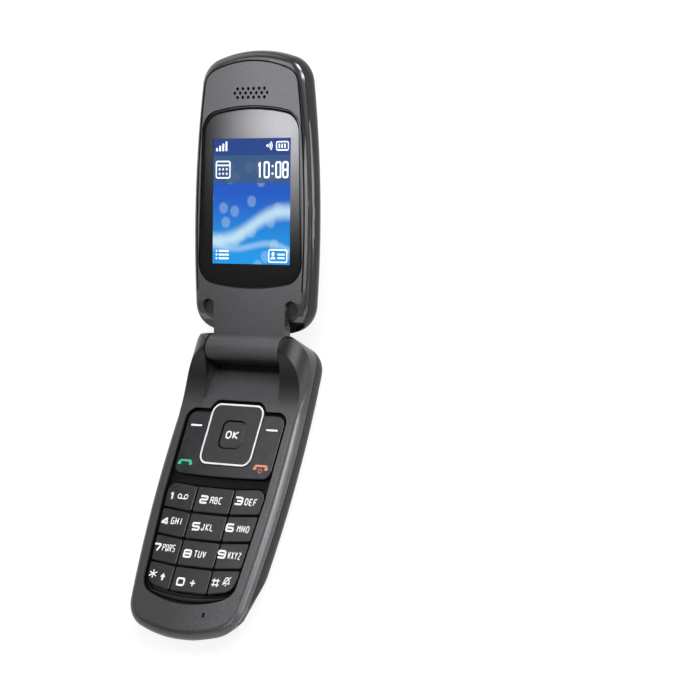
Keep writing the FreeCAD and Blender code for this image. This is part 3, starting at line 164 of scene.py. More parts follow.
# Zones of the front case, in millimetres: each pair runs from no effect to full effect
CHARCOAL = (0.014, 0.0143, 0.016)
# The recess round the keys: black, with painted shade that takes out most of its sheen
RECESS_LEVEL = (8.25, 8.10)
RECESS_SIDE = (19.4, 19.2)
RECESS_HINGE_END = (-14.0, -14.3)
RECESS_FREE_END = (-76.2, -76.0)
RECESS_TAPER = (-60.0, -76.0)
RECESS_TAPER_DEPTH = 3.0
# Painted shade in the seam between the front and rear cases
CASE_SEAM_TOP = (5.95, 5.87)
CASE_SEAM_FOOT = (5.5, 5.58)
# Painted light: the right side of the front case towards the hinge, lighter and glossier
PAINTED_LIGHT_ACROSS = (-8.0, 20.0)
PAINTED_LIGHT_ALONG = (-6.0, -26.0)
# Painted shade: the ears above this rise, darker and with less sheen
EARS_RISE = (8.9, 11.0)
# Painted light: the slope between the hinge barrel and the keys, lighter where it faces up
SLOPE_HINGE_END = (-5.0, -7.0)
SLOPE_KEYS_END = (-19.0, -16.0)
SLOPE_SIDE = (13.6, 12.8)

# Tone, sheen and roughness in those zones: painted light on the slope and the right side, painted shade on
# the ears, in the seam and in the recess
SLOPE_PAINTED_LIGHT = 2.0
PAINTED_LIGHT_TONE = 2.4
PAINTED_LIGHT_FLECKS = 0.8
EARS_PAINTED_SHADE = 0.6
CASE_SEAM_PAINTED_SHADE = 0.2
RECESS_BLACK_AND_SHADE = 0.002
CASE_SHEEN = 0.74
PAINTED_LIGHT_SHEEN = 1.0
EARS_PAINTED_SHADE_SHEEN = 0.34
RECESS_PAINTED_SHADE_SHEEN = 0.07
CASE_ROUGH = 0.32
RECESS_ROUGH = 0.5
CASE_SPECULAR = 0.95
CASE_GRAIN_DEPTH = 0.003

# Painted shade: the rear case darkens between these heights in millimetres, by this share towards this tone
REAR_SHADE = (5.5, 1.0)
REAR_SHADE_SHARE = 0.45
REAR_SHADE_TONE = 0.5
REAR_ROUGH = (0.42, 0.48)
REAR_SPECULAR = 0.34

# Zones of the lid's inner face in the lid's axes, in millimetres, as for the front case
PANEL_GREY = (0.200, 0.202, 0.214)
# Painted shade in the groove round the window and in the holes below the panel's face
GROOVE_LEVEL = (0.84, 0.78)
GROOVE_SIDE = (19.1, 19.0)
GROOVE_START = (15.0, 16.0)
CORNER_SIDE = (12.75, 12.85)
CORNER_START = (17.6, 15.2)
CORNER_LEVEL = (0.93, 0.80)
# Painted shade under the hinge barrel, below this height up the lid
UNDERSIDE = (0.5, -2.8)
# Painted light: the panel lighter up the lid and to the right
PANEL_UP = (0.0, 62.0)
PANEL_UP_PAINTED_LIGHT = (0.32, 1.0)
PANEL_ACROSS = (-20.0, 8.0)
PANEL_ACROSS_PAINTED_LIGHT = (0.62, 1.0)
PANEL_FLECK_SIZE = 0.22
PANEL_FLECK_EDGE = (0.55, 0.78)
PANEL_FLECKS = 0.3
PANEL_FLECK_TONE = 2.2
UNDERSIDE_PAINTED_SHADE = 0.005
UNDERSIDE_PAINTED_SHADE_SHEEN = 0.4
GROOVE_PAINTED_SHADE = 0.002
CORNER_GREY = (0.022, 0.022, 0.023)
PANEL_ROUGH = (0.38, 0.44)
PANEL_GRAIN_DEPTH = 0.002

# The ring round the navigation key, and the heights in millimetres where its sides turn dark
RING_SILVER = (0.84, 0.85, 0.87)
RING_DARK = (0.02, 0.02, 0.022)
RING_EDGE = (8.47, 8.40)
RING_DRIFT = (3.0, 0.96, 1.0)
RING_ROUGH = (1.2, 0.12, 0.18)

# The battery cover's diamond grid and where it fades out, in millimetres
COVER_CHARCOAL = (0.036, 0.037, 0.040)
GRID_PITCH = 0.75
GRID_EDGE = (-0.2, 0.9)
GRID_SIDE = (18.5, 14.0)
GRID_LEVEL = (0.6, 0.05)
GRID_SHARE = 0.7
GRID_TONE = 2.2
GRID_GRAINS = 6.0
GRID_DEPTH = 0.008
COVER_ROUGH = (0.42, 0.52)

# The clear window
WINDOW_TINT = (0.97, 0.97, 0.98)
WINDOW_BLOTCH = 10.0
WINDOW_ROUGH = (8.0, 0.0, 0.02)
WINDOW_IOR = 1.49

# The ink behind the window, black print under a painted reflection, a silver that grows to the upper right,
# in the lid's axes, in millimetres
INK_BLACK = (0.006, 0.006, 0.007)
REFLECTION_SILVER = (0.90, 0.90, 0.93)
REFLECTION_ACROSS = (-22.0, 12.0)
REFLECTION_UP = (12.0, 66.0)
REFLECTION_POWER = 2.2
REFLECTION_GRAIN_SIZE = 0.3
REFLECTION_GRAIN_EDGE = (0.2, 0.8)
REFLECTION_GRAIN_SHARES = (0.96, 1.04)
WINDOW_INK_ROUGH = 0.4
WINDOW_INK_LIFT = 0.02
WINDOW_INK_THICK = 0.02

# The black line printed round the window's edge, in millimetres
EDGE_INSET = 0.45
EDGE_WIDTH = 0.7
EDGE_LIFT = 0.05
EDGE_THICK = 0.02

# Painted shade in the seam round the lid's panel, in millimetres: where it starts from the hinge, its width
# and depth
SEAM_START = 16.0
SEAM_WIDTH = 0.42
SEAM_DEPTH = 0.1

# The gloss lip under the number keys, in millimetres
LIP_HALF = 14.4
LIP_MIDDLE = -72.5
LIP_RISE = 1.75
LIP_WIDTH = 1.3
LIP_END_WIDTH = 0.5
LIP_FLOOR = 7.48
LIP_HEIGHT = 0.65
LIP_STEPS = 32
LIP_SIDES = 10

# The arrow on the battery cover, in millimetres
ARROW_HALF = 1.7
ARROW_FOOT = -8.2
ARROW_TIP = -10.6
ARROW_ROUND = 0.3
ARROW_STROKE = 0.45
ARROW_LEVELS = (-0.02, 0.05)

# Printed legends, in millimetres: the first place on a key is its digit's, the second its letters'
PRINT_THICK = 0.03
PRINT_STEP = 0.004
DIGIT_SIZE = (2.95, 2.45)
DIGIT_STROKE = 0.56
LETTER_PITCH = 1.52
LETTER_PITCH_LONG = 1.21
LETTERS_HEIGHT = 2.05
LETTER_STROKE = 0.30
LETTER_STROKE_LONG = 0.24
SIGN_SIZE = (2.9, 2.7)
SIGN_STROKE = 0.34
LEGEND_PLACES = {
    "1": ((-14.93, -43.72), (-11.09, -43.65)), "2": ((-3.37, -43.95), (1.06, -43.94)),
    "3": ((8.98, -43.42), (13.27, -43.51)), "4": ((-14.98, -51.14), (-10.72, -50.89)),
    "5": ((-3.47, -51.83), (0.66, -51.78)), "6": ((8.49, -51.22), (13.20, -51.28)),
    "7": ((-15.0, -58.88), (-10.9, -58.77)), "8": ((-3.74, -59.75), (0.68, -59.61)),
    "9": ((8.25, -58.90), (12.70, -58.95)), "star": ((-13.86, -66.51), (-10.14, -67.04)),
    "0": ((-3.35, -67.87), (0.96, -67.88)), "hash": ((8.85, -67.00), (12.50, -66.20)),
}

# Second marks of the keys without letters, in parts as the screen's marks are, from each mark's centre
SECOND_MARKS = {
    "1": [("arc", (-1.15, 0.0), 0.62, 0, 360, 20, 0.30), ("arc", (1.15, 0.0), 0.62, 0, 360, 20, 0.30),
          ("line", (-1.15, -0.62), (1.15, -0.62), 0.30)],
    "star": [("line", (0.0, -1.05), (0.0, 0.0), 0.62), ("head", (0.0, 1.05), (0.95, -0.1))],
    "0": [("line", (0.0, -0.89), (0.0, 0.89), 0.42), ("line", (-0.89, 0.0), (0.89, 0.0), 0.42)],
    "hash": [("bell", (0.0, 0.195), 0.715, (1.04, -0.715), 10, 0.30), ("dot", (0.0, -1.235), 0.21, 24),
             ("line", (-1.17, -1.17), (1.17, 1.17), 0.30)],
}

# Touch marks on the middle number key, in millimetres
TOUCH_PLACES = ((-6.0, -51.9), (4.8, -51.6))
TOUCH_REACH = (0.12, 0.55)
TOUCH_WIDTHS = (0.16, 0.34, 0.16)
TOUCH_HEIGHT = 0.09

# Legends of the function keys: ink, centre in millimetres, parts, and parts that stand a step higher
SOFT_DASH = [("line", (-2.0, 0.0), (2.0, 0.0), 0.52)]
HANDSET = [("arch", (0.0, 0.0), (4.0, 0.85), 0.58)]
HANDSET_FEET = [("line", (x - 0.55, -0.425), (x + 0.55, -0.425), 0.7) for x in (-2.0, 2.0)]
FUNCTION_MARKS = {
    "soft_left": ("ink_white", (-13.6, -22.5), SOFT_DASH, []),
    "soft_right": ("ink_white", (13.6, -22.5), SOFT_DASH, []),
    "call": ("ink_green", (-13.82, -33.51), HANDSET, HANDSET_FEET),
    "end": ("ink_peach", (13.32, -33.38), HANDSET, HANDSET_FEET),
    "power": ("ink_rose", (13.32, -34.33), [("arc", (0.0, 0.0), 0.6, 120, 300, 20, 0.28)],
              [("line", (0.0, 0.0), (0.0, 0.75), 0.28)]),
}
OK_SIZE = (2.1, 2.35)
OK_STROKE = 0.44

# What the screen shows, in the lid's own axes, in millimetres
VIEW_WIDTH = 28.0
VIEW_LOW = 24.0
VIEW_HIGH = 59.1
BAR_LOW = 54.4
BAND_LOW = 46.6
BORDER_SOFT = 0.1
PICTURE_LIFT = 0.02
PICTURE_THICK = 0.03
MARK_LIFT = 0.06

# The lit picture: its colours, and each ribbon's level, slope, width and strength
PICTURE_LOW = (0.0, 0.34, 0.86)
PICTURE_HIGH = (0.003, 0.09, 0.58)
RIBBON_PALE = (0.60, 0.86, 1.0)
DISC_PALE = (0.70, 0.92, 1.0)
BAND_BLUE = (0.040, 0.10, 0.19)
BAR_BLUE = (0.010, 0.055, 0.27)
SCREEN_OFF = (0.01, 0.01, 0.012)
SCREEN_ROUGH = 0.3
RIBBONS = ((34.5, 0.26, 3.4, 0.9), (29.0, -0.12, 1.5, 0.45))
RIBBON_WAVE = 0.2
RIBBON_SWAY = 1.6
DISC_SCALE = 0.16
DISC_RANDOMNESS = 0.9
DISC_EDGE = (0.30, 0.20)
DISC_STRENGTH = 0.22
BAND_STRENGTH = 0.85

# Marks on the screen, in millimetres
CLOCK = ("1", "0", ":", "0", "8")
CLOCK_X = (2.9, 5.35, 7.45, 9.5, 12.0)
CLOCK_Y = 50.3
CLOCK_SIZE = (2.15, 4.7)
CLOCK_STROKE = 0.55

# Parts of the other marks, in millimetres and degrees: an outline or arch has its centre, size and stroke,
# a line its ends and stroke, a dot its centre, radius and sides, an arc its centre, radius, start, turn,
# steps and stroke, a bar its lower left corner and size, an arrow's head its tip and lower right corner,
# and a bell its dome's centre and radius, its lower right corner, steps and stroke
SCREEN_MARKS = {
    "signal": [("bar", (-13.0, 55.6), (0.6, 0.9)), ("bar", (-11.85, 55.6), (0.6, 1.5)),
               ("bar", (-10.7, 55.6), (0.6, 2.1)), ("bar", (-9.55, 55.6), (0.6, 2.7))],
    "battery": [("outline", (10.9, 56.9), (4.2, 2.3), 0.36), ("bar", (9.55, 56.3), (0.5, 1.2)),
                ("bar", (10.55, 56.3), (0.5, 1.2)), ("bar", (11.55, 56.3), (0.5, 1.2))],
    "sound": [("dot", (5.6, 57.0), 0.4, 24), ("arc", (5.6, 57.0), 0.95, -45, 90, 10, 0.32),
              ("arc", (5.6, 57.0), 1.6, -45, 90, 10, 0.32)],
    "day": [("outline", (-10.4, 50.4), (5.0, 4.6), 0.4), ("line", (-12.9, 51.6), (-7.9, 51.6), 0.4),
            *[("dot", (x, y), 0.32, 12) for y in (50.5, 49.25) for x in (-11.7, -10.4, -9.1)]],
    "list": [("bar", (x, y), (width, 0.5)) for y in (25.2, 26.25, 27.3)
             for x, width in ((-12.8, 0.5), (-11.7, 3.6))],
    "people": [("outline", (9.6, 26.4), (6.4, 3.4), 0.34), ("dot", (7.9, 26.95), 0.52, 24),
               ("arc", (7.9, 25.45), 0.5, 0, 180, 12, 0.55), ("bar", (9.5, 25.6), (2.5, 0.45)),
               ("bar", (9.5, 26.6), (2.5, 0.45))],
}

# Glyph strokes on a grid of 4 by 8: each point is its column and row, and a stroke that ends where it
# began is closed
GLYPHS = {
    "0": ["00 40 48 08 00"], "1": ["16 28 20"], "2": ["08 48 44 04 00 40"], "3": ["08 48 40 00", "14 44"],
    "4": ["30 38 02 42"], "5": ["48 08 04 44 40 00"], "6": ["48 08 00 40 44 04"], "7": ["08 48 20"],
    "8": ["00 40 48 08 00", "04 44"], "9": ["00 40 48 08 04 44"],
    "A": ["00 08 48 40", "04 44"], "B": ["00 08 38 34 04", "34 44 40 00"], "C": ["48 08 00 40"],
    "D": ["00 08 38 46 42 30 00"], "E": ["48 08 00 40", "04 34"], "F": ["48 08 00", "04 34"],
    "G": ["48 08 00 40 44 24"], "H": ["00 08", "40 48", "04 44"], "I": ["20 28"], "J": ["38 30 00 02"],
    "K": ["00 08", "48 04 40"], "L": ["08 00 40"], "M": ["00 08 24 48 40"], "N": ["00 08 40 48"],
    "O": ["10 30 42 46 38 18 06 02 10"], "P": ["00 08 48 44 04"], "Q": ["00 40 48 08 00", "22 40"],
    "R": ["00 08 48 44 04", "24 40"], "S": ["48 08 04 44 40 00"], "T": ["08 48", "20 28"],
    "U": ["08 00 40 48"], "V": ["08 20 48"], "W": ["08 10 26 30 48"], "X": ["00 48", "08 40"],
    "Y": ["08 24 48", "24 20"], "Z": ["08 48 00 40"],
    "*": ["20 28", "02 46", "06 42"], "#": ["10 18", "30 38", "02 42", "06 46"], ":": ["22 22", "26 26"],
}
GRID = Vector((4, 8))
ROUND_STEPS = 4
KEY_SIGNS = {"star": "*", "hash": "#"}
KEY_LETTERS = {
    "2": "ABC", "3": "DEF", "4": "GHI", "5": "JKL", "6": "MNO", "7": "PQRS", "8": "TUV", "9": "WXYZ",
}
LONG_WORD = 4

# Parts of a drawn stroke as multiples of its width, and limits of drawing
DOT_STROKES = 0.6
ROUND_STROKES = 0.9
LETTER_GAP_STROKES = 1.1
BOX_ROUND_STROKES = 1.4
MITRE_LIMIT = 0.65
SAME_PLACE = 1e-9
OUTLINE_DIGITS = 7


class Shade:
    """A node material, with short calls that add to it."""

    def __init__(self, name):
        self.material = bpy.data.materials.new(name)
        self.material.use_nodes = True
        self.nodes = self.material.node_tree.nodes
        self.links = self.material.node_tree.links
        self.surface = self.nodes["Principled BSDF"]

    def put(self, socket, value):
        if isinstance(value, bpy.types.NodeSocket):
            self.links.new(value, socket)
        else:
            socket.default_value = value

    def add(self, kind, inputs, **settings):
        node = self.nodes.new(kind)
        for name, value in settings.items():
            setattr(node, name, value)
        for name, value in inputs.items():
            self.put(node.inputs[name], value)
        return node

    def place(self):
        """Coordinates on the piece, in millimetres of its own axes."""
        coordinates = self.add("ShaderNodeTexCoord", {})
        inputs = {0: coordinates.outputs["Object"], "Scale": 1 / MM}
        return self.add("ShaderNodeVectorMath", inputs, operation="SCALE").outputs[0]

    def axes(self):
        """The three coordinates on the piece, in millimetres."""
        return self.add("ShaderNodeSeparateXYZ", {0: self.place()}).outputs

    def lid_axes(self):
        """Across, up the lid and out of its inner face, in millimetres from the hinge axis."""
        hinge = Vector(HINGE["pos_m"]) / MM
        inputs = {"Vector": self.place(), "Center": hinge, "Angle": -LID_TILT}
        turned = self.add("ShaderNodeVectorRotate", inputs, rotation_type="X_AXIS")
        across, up, out = self.add("ShaderNodeSeparateXYZ", {0: turned.outputs[0]}).outputs
        return across, self.math("SUBTRACT", up, hinge.y), self.math("SUBTRACT", out, hinge.z)

    def noise(self, size, detail=2.0):
        """Noise from 0 to 1 with blotches of about this size in millimetres."""
        inputs = {"Vector": self.place(), "Scale": 1 / size, "Detail": detail}
        return self.add("ShaderNodeTexNoise", inputs).outputs[0]

    def span(self, value, low, high, to_low=0.0, to_high=1.0):
        """The value's place from low to high, eased, as a number from to_low to to_high."""
        node = self.add("ShaderNodeMapRange", {
            "Value": value, "From Min": low, "From Max": high, "To Min": to_low, "To Max": to_high,
        }, interpolation_type="SMOOTHSTEP")
        return node.outputs[0]

    def wander(self, size, low, high):
        """A number that wanders from low to high in blotches of about this size in millimetres."""
        return self.span(self.noise(size), *NOISE_SPREAD, low, high)

    def drift(self, colour, size, low, high):
        """The colour times a factor that drifts from low to high in blotches of about this size."""
        return self.mix(self.noise(size), shaded(colour, low), shaded(colour, high))

    def both(self, *masks):
        """One where all the masks are one."""
        whole = masks[0]
        for mask in masks[1:]:
            whole = self.math("MULTIPLY", whole, mask)
        return whole

    def math(self, operation, first, second=0.0):
        return self.add("ShaderNodeMath", {0: first, 1: second}, operation=operation).outputs[0]

    def mix(self, factor, first, second):
        """A colour from first at factor 0 to second at factor 1."""
        node = self.add("ShaderNodeMix", {0: factor, 6: first, 7: second}, data_type="RGBA")
        return node.outputs[2]

    def relief(self, height, depth):
        """A bump whose full height is this depth in millimetres."""
        node = self.add("ShaderNodeBump", {"Height": height, "Distance": depth * MM, "Strength": 1.0})
        return node.outputs[0]

    def grain(self, depth):
        """The fine grain of a moulding, of this depth in millimetres."""
        return self.relief(self.noise(GRAIN_SIZE), depth)

    def show(self, shader):
        """Puts this shader in place of the surface."""
        self.links.new(shader.outputs[0], self.nodes["Material Output"].inputs["Surface"])

    def finish(self, **inputs):
        """Sets the surface's sockets, named with _ for a space, and gives the material."""
        for name, value in inputs.items():
            self.put(self.surface.inputs[name.replace("_", " ")], value)
        return self.material


def scaled(values, factor):
    """Each of the values times the factor."""
    return [value * factor for value in values]


def shaded(colour, factor=1.0):
    """The colour times the factor, as a socket's four numbers."""
    return scaled(colour, factor) + [1.0]


def grey(level):
    """A neutral colour of this level, as a socket's four numbers."""
    return shaded((level, level, level))


def moulded(name, depth=GRAIN_DEPTH):
    """Moulded plastic: slow drift of tone and roughness under a fine grain."""
    colour, roughness = LOOKS[name]
    shade = Shade(name)
    tone = shade.drift(colour, *PAINT_DRIFT)
    rough = shade.wander(ROUGH_BLOTCH, roughness - ROUGH_SWING, roughness + ROUGH_SWING)
    return shade.finish(Base_Color=tone, Roughness=rough, Normal=shade.grain(depth))


def gloss(name, **finish):
    """Polished plastic: nearly even, with the faint orange peel of a moulding."""
    colour, roughness = LOOKS[name]
    shade = Shade(name)
    tone = shade.drift(colour, *GLOSS_DRIFT)
    rough = shade.wander(GLOSS_ROUGH_BLOTCH, *scaled(GLOSS_ROUGH_SHARES, roughness))
    peel = shade.relief(shade.noise(PEEL_SIZE, 0.0), PEEL_DEPTH)
    return shade.finish(Base_Color=tone, Roughness=rough, Normal=peel, **finish)


def metal(name):
    """Plated or bare metal with fine brushing along x."""
    colour, roughness = LOOKS[name]
    shade = Shade(name)
    stretched = shade.add("ShaderNodeVectorMath", {0: shade.place(), 1: BRUSHING}, operation="MULTIPLY")
    inputs = {"Vector": stretched.outputs[0], "Scale": BRUSH_SCALE, "Detail": BRUSH_DETAIL}
    lines = shade.add("ShaderNodeTexNoise", inputs).outputs[0]
    tone = shade.mix(lines, *[shaded(colour, factor) for factor in BRUSH_TONES])
    rough = shade.span(lines, *NOISE_SPREAD, *scaled(BRUSH_ROUGH_SHARES, roughness))
    return shade.finish(Base_Color=tone, Roughness=rough, Metallic=1.0)


def clear_window():
    """The clear window over the display, with a trace of unevenness in its polish."""
    shade = Shade("window_clear")
    rough = shade.wander(*WINDOW_ROUGH)
    tone = shade.mix(shade.noise(WINDOW_BLOTCH), shaded(WINDOW_TINT), grey(1.0))
    return shade.finish(Base_Color=tone, Roughness=rough, IOR=WINDOW_IOR, Transmission_Weight=1.0)


def flecked(shade, colour, flecks=FLECKS):
    """Charcoal paint: slow drift of tone under fine pale flecks."""
    tone = shade.drift(colour, *PAINT_DRIFT)
    spots = shade.span(shade.noise(FLECK_SIZE, 0.0), *FLECK_EDGE, 0.0, flecks)
    return shade.mix(spots, tone, shaded(colour, FLECK_TONE))


def front_shell():
    """The front case: flecked charcoal, with painted light on the right side and the slope, and painted
    shade on the ears, in the seam and in the black recess round the keys.
    """
    shade = Shade("case_front")
    across, along, up = shade.axes()
    aside = shade.math("ABSOLUTE", across)
    tapered = shade.math("ADD", aside, shade.span(along, *RECESS_TAPER, 0.0, RECESS_TAPER_DEPTH))
    sunk = shade.both(shade.span(up, *RECESS_LEVEL), shade.span(tapered, *RECESS_SIDE),
                      shade.span(along, *RECESS_HINGE_END), shade.span(along, *RECESS_FREE_END))
    seam = shade.both(shade.span(up, *CASE_SEAM_TOP), shade.span(up, *CASE_SEAM_FOOT))
    # drift here is painted light, which lightens the right side of the front and raises its sheen
    drift = shade.both(shade.span(across, *PAINTED_LIGHT_ACROSS), shade.span(along, *PAINTED_LIGHT_ALONG))
    ears = shade.span(up, *EARS_RISE)
    slope = shade.both(shade.span(along, *SLOPE_HINGE_END), shade.span(along, *SLOPE_KEYS_END),
                       shade.span(aside, *SLOPE_SIDE))
    tone = flecked(shade, CHARCOAL)
    # Painted light on the slope: a lighter copy of the charcoal
    tone = shade.mix(slope, tone, flecked(shade, scaled(CHARCOAL, SLOPE_PAINTED_LIGHT)))
    tone = shade.mix(drift, tone, flecked(shade, scaled(CHARCOAL, PAINTED_LIGHT_TONE), PAINTED_LIGHT_FLECKS))
    # Painted shade on the ears: darker tone and less sheen
    tone = shade.mix(ears, tone, shaded(CHARCOAL, EARS_PAINTED_SHADE))
    # The recess: black plastic with painted shade, near black and almost without sheen
    tone = shade.mix(sunk, tone, grey(RECESS_BLACK_AND_SHADE))
    # Painted shade in the seam
    tone = shade.mix(seam, tone, shaded(CHARCOAL, CASE_SEAM_PAINTED_SHADE))
    sheen = shade.mix(drift, grey(CASE_SHEEN), grey(PAINTED_LIGHT_SHEEN))
    sheen = shade.mix(ears, sheen, grey(EARS_PAINTED_SHADE_SHEEN))
    sheen = shade.mix(sunk, sheen, grey(RECESS_PAINTED_SHADE_SHEEN))
    rough = shade.span(sunk, 0.0, 1.0, CASE_ROUGH, RECESS_ROUGH)
    return shade.finish(Base_Color=tone, Roughness=rough, Specular_Tint=sheen,
                        Specular_IOR_Level=CASE_SPECULAR, Normal=shade.grain(CASE_GRAIN_DEPTH))


def rear_shell():
    """The rear case: flecked charcoal, with painted shade that darkens it a little towards the resting
    plane.
    """
    shade = Shade("case_rear")
    # Painted shade: darker towards the resting plane
    low = shade.span(shade.axes()[2], *REAR_SHADE, 0.0, REAR_SHADE_SHARE)
    tone = shade.mix(low, flecked(shade, CHARCOAL), shaded(CHARCOAL, REAR_SHADE_TONE))
    return shade.finish(Base_Color=tone, Roughness=shade.wander(ROUGH_BLOTCH, *REAR_ROUGH),
                        Specular_IOR_Level=REAR_SPECULAR, Normal=shade.grain(GRAIN_DEPTH))


def lid_panel():
    """The lid's inner face: satin grey, with painted light that darkens it towards the hinge and the left,
    and painted shade under the barrel and in the groove round the window.
    """
    shade = Shade("lid_panel")
    across, up, out = shade.lid_axes()
    aside = shade.math("ABSOLUTE", across)
    groove = shade.both(shade.span(out, *GROOVE_LEVEL), shade.span(aside, *GROOVE_SIDE),
                        shade.span(up, *GROOVE_START))
    corner = shade.both(shade.span(aside, *CORNER_SIDE), shade.span(up, *CORNER_START),
                        shade.span(out, *CORNER_LEVEL))
    # Painted light: the panel and its flecks darker towards the hinge and the left
    light = shade.both(shade.span(up, *PANEL_UP, *PANEL_UP_PAINTED_LIGHT),
                       shade.span(across, *PANEL_ACROSS, *PANEL_ACROSS_PAINTED_LIGHT))
    tone = shade.mix(light, grey(0.0), shaded(PANEL_GREY))
    flecks = shade.span(shade.noise(PANEL_FLECK_SIZE, 0.0), *PANEL_FLECK_EDGE, 0.0, PANEL_FLECKS)
    tone = shade.mix(shade.both(flecks, light), tone, shaded(PANEL_GREY, PANEL_FLECK_TONE))
    # Painted shade under the barrel: near black, with less sheen
    under = shade.span(up, *UNDERSIDE)
    tone = shade.mix(under, tone, grey(UNDERSIDE_PAINTED_SHADE))
    # Painted shade in the groove and the holes
    tone = shade.mix(groove, tone, grey(GROOVE_PAINTED_SHADE))
    tone = shade.mix(corner, tone, shaded(CORNER_GREY))
    sheen = shade.mix(under, grey(1.0), grey(UNDERSIDE_PAINTED_SHADE_SHEEN))
    return shade.finish(Base_Color=tone, Roughness=shade.wander(ROUGH_BLOTCH, *PANEL_ROUGH),
                        Specular_Tint=sheen, Normal=shade.grain(PANEL_GRAIN_DEPTH))


def ring_plated():
    """The ring round the navigation key: bright on its top, dark down its sides."""
    shade = Shade("ring")
    tone = shade.drift(RING_SILVER, *RING_DRIFT)
    tone = shade.mix(shade.span(shade.axes()[2], *RING_EDGE), tone, shaded(RING_DARK))
    return shade.finish(Base_Color=tone, Roughness=shade.wander(*RING_ROUGH))


def painted_reflection_ink():
    """The ink behind the window: black print under a painted reflection, a silver that grows to the upper
    right.
    """
    shade = Shade("window_ink_painted_reflection")
    across, up = shade.axes()[:2]
    # Painted reflection: silver that grows to the upper right over the black print
    aside = shade.span(across, *REFLECTION_ACROSS)
    high = shade.math("POWER", shade.span(up, *REFLECTION_UP), REFLECTION_POWER)
    grain = shade.span(shade.noise(REFLECTION_GRAIN_SIZE, 0.0), *REFLECTION_GRAIN_EDGE, *REFLECTION_GRAIN_SHARES)
    tone = shade.mix(shade.both(aside, high, grain), shaded(INK_BLACK), shaded(REFLECTION_SILVER))
    return shade.finish(Base_Color=tone, Roughness=WINDOW_INK_ROUGH, Specular_IOR_Level=0.0)


def textured_cover():
    """The battery cover: charcoal with a fine raised diamond grid that fades out where the cover rises."""
    shade = Shade("cover_grid")
    across, along, up = shade.axes()
    turn = 2 * math.pi / (GRID_PITCH * math.sqrt(2.0))
    waves = []
    for sign in (1.0, -1.0):
        diagonal = shade.math("ADD", across, shade.math("MULTIPLY", along, sign))
        waves.append(shade.math("SINE", shade.math("MULTIPLY", diagonal, turn)))
    grid = shade.span(shade.both(*waves), *GRID_EDGE)
    side = shade.span(shade.math("ABSOLUTE", across), *GRID_SIDE)
    shown = shade.both(side, shade.span(up, *GRID_LEVEL), grid)
    tone = shade.drift(COVER_CHARCOAL, *PAINT_DRIFT)
    tone = shade.mix(shade.math("MULTIPLY", shown, GRID_SHARE), tone, shaded(COVER_CHARCOAL, GRID_TONE))
    height = shade.math("ADD", shade.math("MULTIPLY", shown, GRID_GRAINS), shade.noise(GRAIN_SIZE))
    return shade.finish(Base_Color=tone, Roughness=shade.wander(ROUGH_BLOTCH, *COVER_ROUGH),
                        Normal=shade.relief(height, GRID_DEPTH))


def lit_picture():
    """The lit picture: a dark bar, a veiled band, and pale ribbons and soft discs over a shaded blue."""
    shade = Shade("screen_picture")
    across, up = shade.axes()[:2]
    tone = shade.mix(shade.span(up, VIEW_LOW, BAND_LOW), shaded(PICTURE_LOW), shaded(PICTURE_HIGH))
    wave = shade.math("SINE", shade.math("MULTIPLY", across, RIBBON_WAVE))
    bend = shade.math("MULTIPLY", wave, RIBBON_SWAY)
    for level, slope, width, strength in RIBBONS:
        line = shade.math("ADD", shade.math("MULTIPLY", across, slope), bend)
        away = shade.math("ABSOLUTE", shade.math("SUBTRACT", shade.math("SUBTRACT", up, level), line))
        tone = shade.mix(shade.span(away, width, 0.0, 0.0, strength), tone, shaded(RIBBON_PALE))
    inputs = {"Vector": shade.place(), "Scale": DISC_SCALE, "Randomness": DISC_RANDOMNESS}
    discs = shade.add("ShaderNodeTexVoronoi", inputs, voronoi_dimensions="2D")
    bright = shade.span(discs.outputs[0], *DISC_EDGE, 0.0, DISC_STRENGTH)
    tone = shade.mix(bright, tone, shaded(DISC_PALE))
    band = shade.span(up, BAND_LOW - BORDER_SOFT, BAND_LOW + BORDER_SOFT, 0.0, BAND_STRENGTH)
    tone = shade.mix(band, tone, shaded(BAND_BLUE))
    bar = shade.span(up, BAR_LOW - BORDER_SOFT, BAR_LOW + BORDER_SOFT)
    tone = shade.mix(bar, tone, shaded(BAR_BLUE))
    return shade.finish(Base_Color=shaded(SCREEN_OFF), Roughness=SCREEN_ROUGH, Specular_IOR_Level=0.0,
                        Emission_Color=tone, Emission_Strength=1.0)


def printed(name):
    """Opaque ink, slightly uneven, with a faint glow: painted light on the keys, the display's own light on
    the screen.
    """
    colour, glow = INKS[name]
    shade = Shade(name)
    tone = shade.drift(colour, *INK_DRIFT)
    return shade.finish(Base_Color=tone, Roughness=INK_ROUGH, Emission_Color=tone, Emission_Strength=glow)


def dress(material, *nodes):
    """Gives CAD nodes their material."""
    for node in nodes:
        slots = NODES[node].data.materials
        slots.clear()
        slots.append(material)


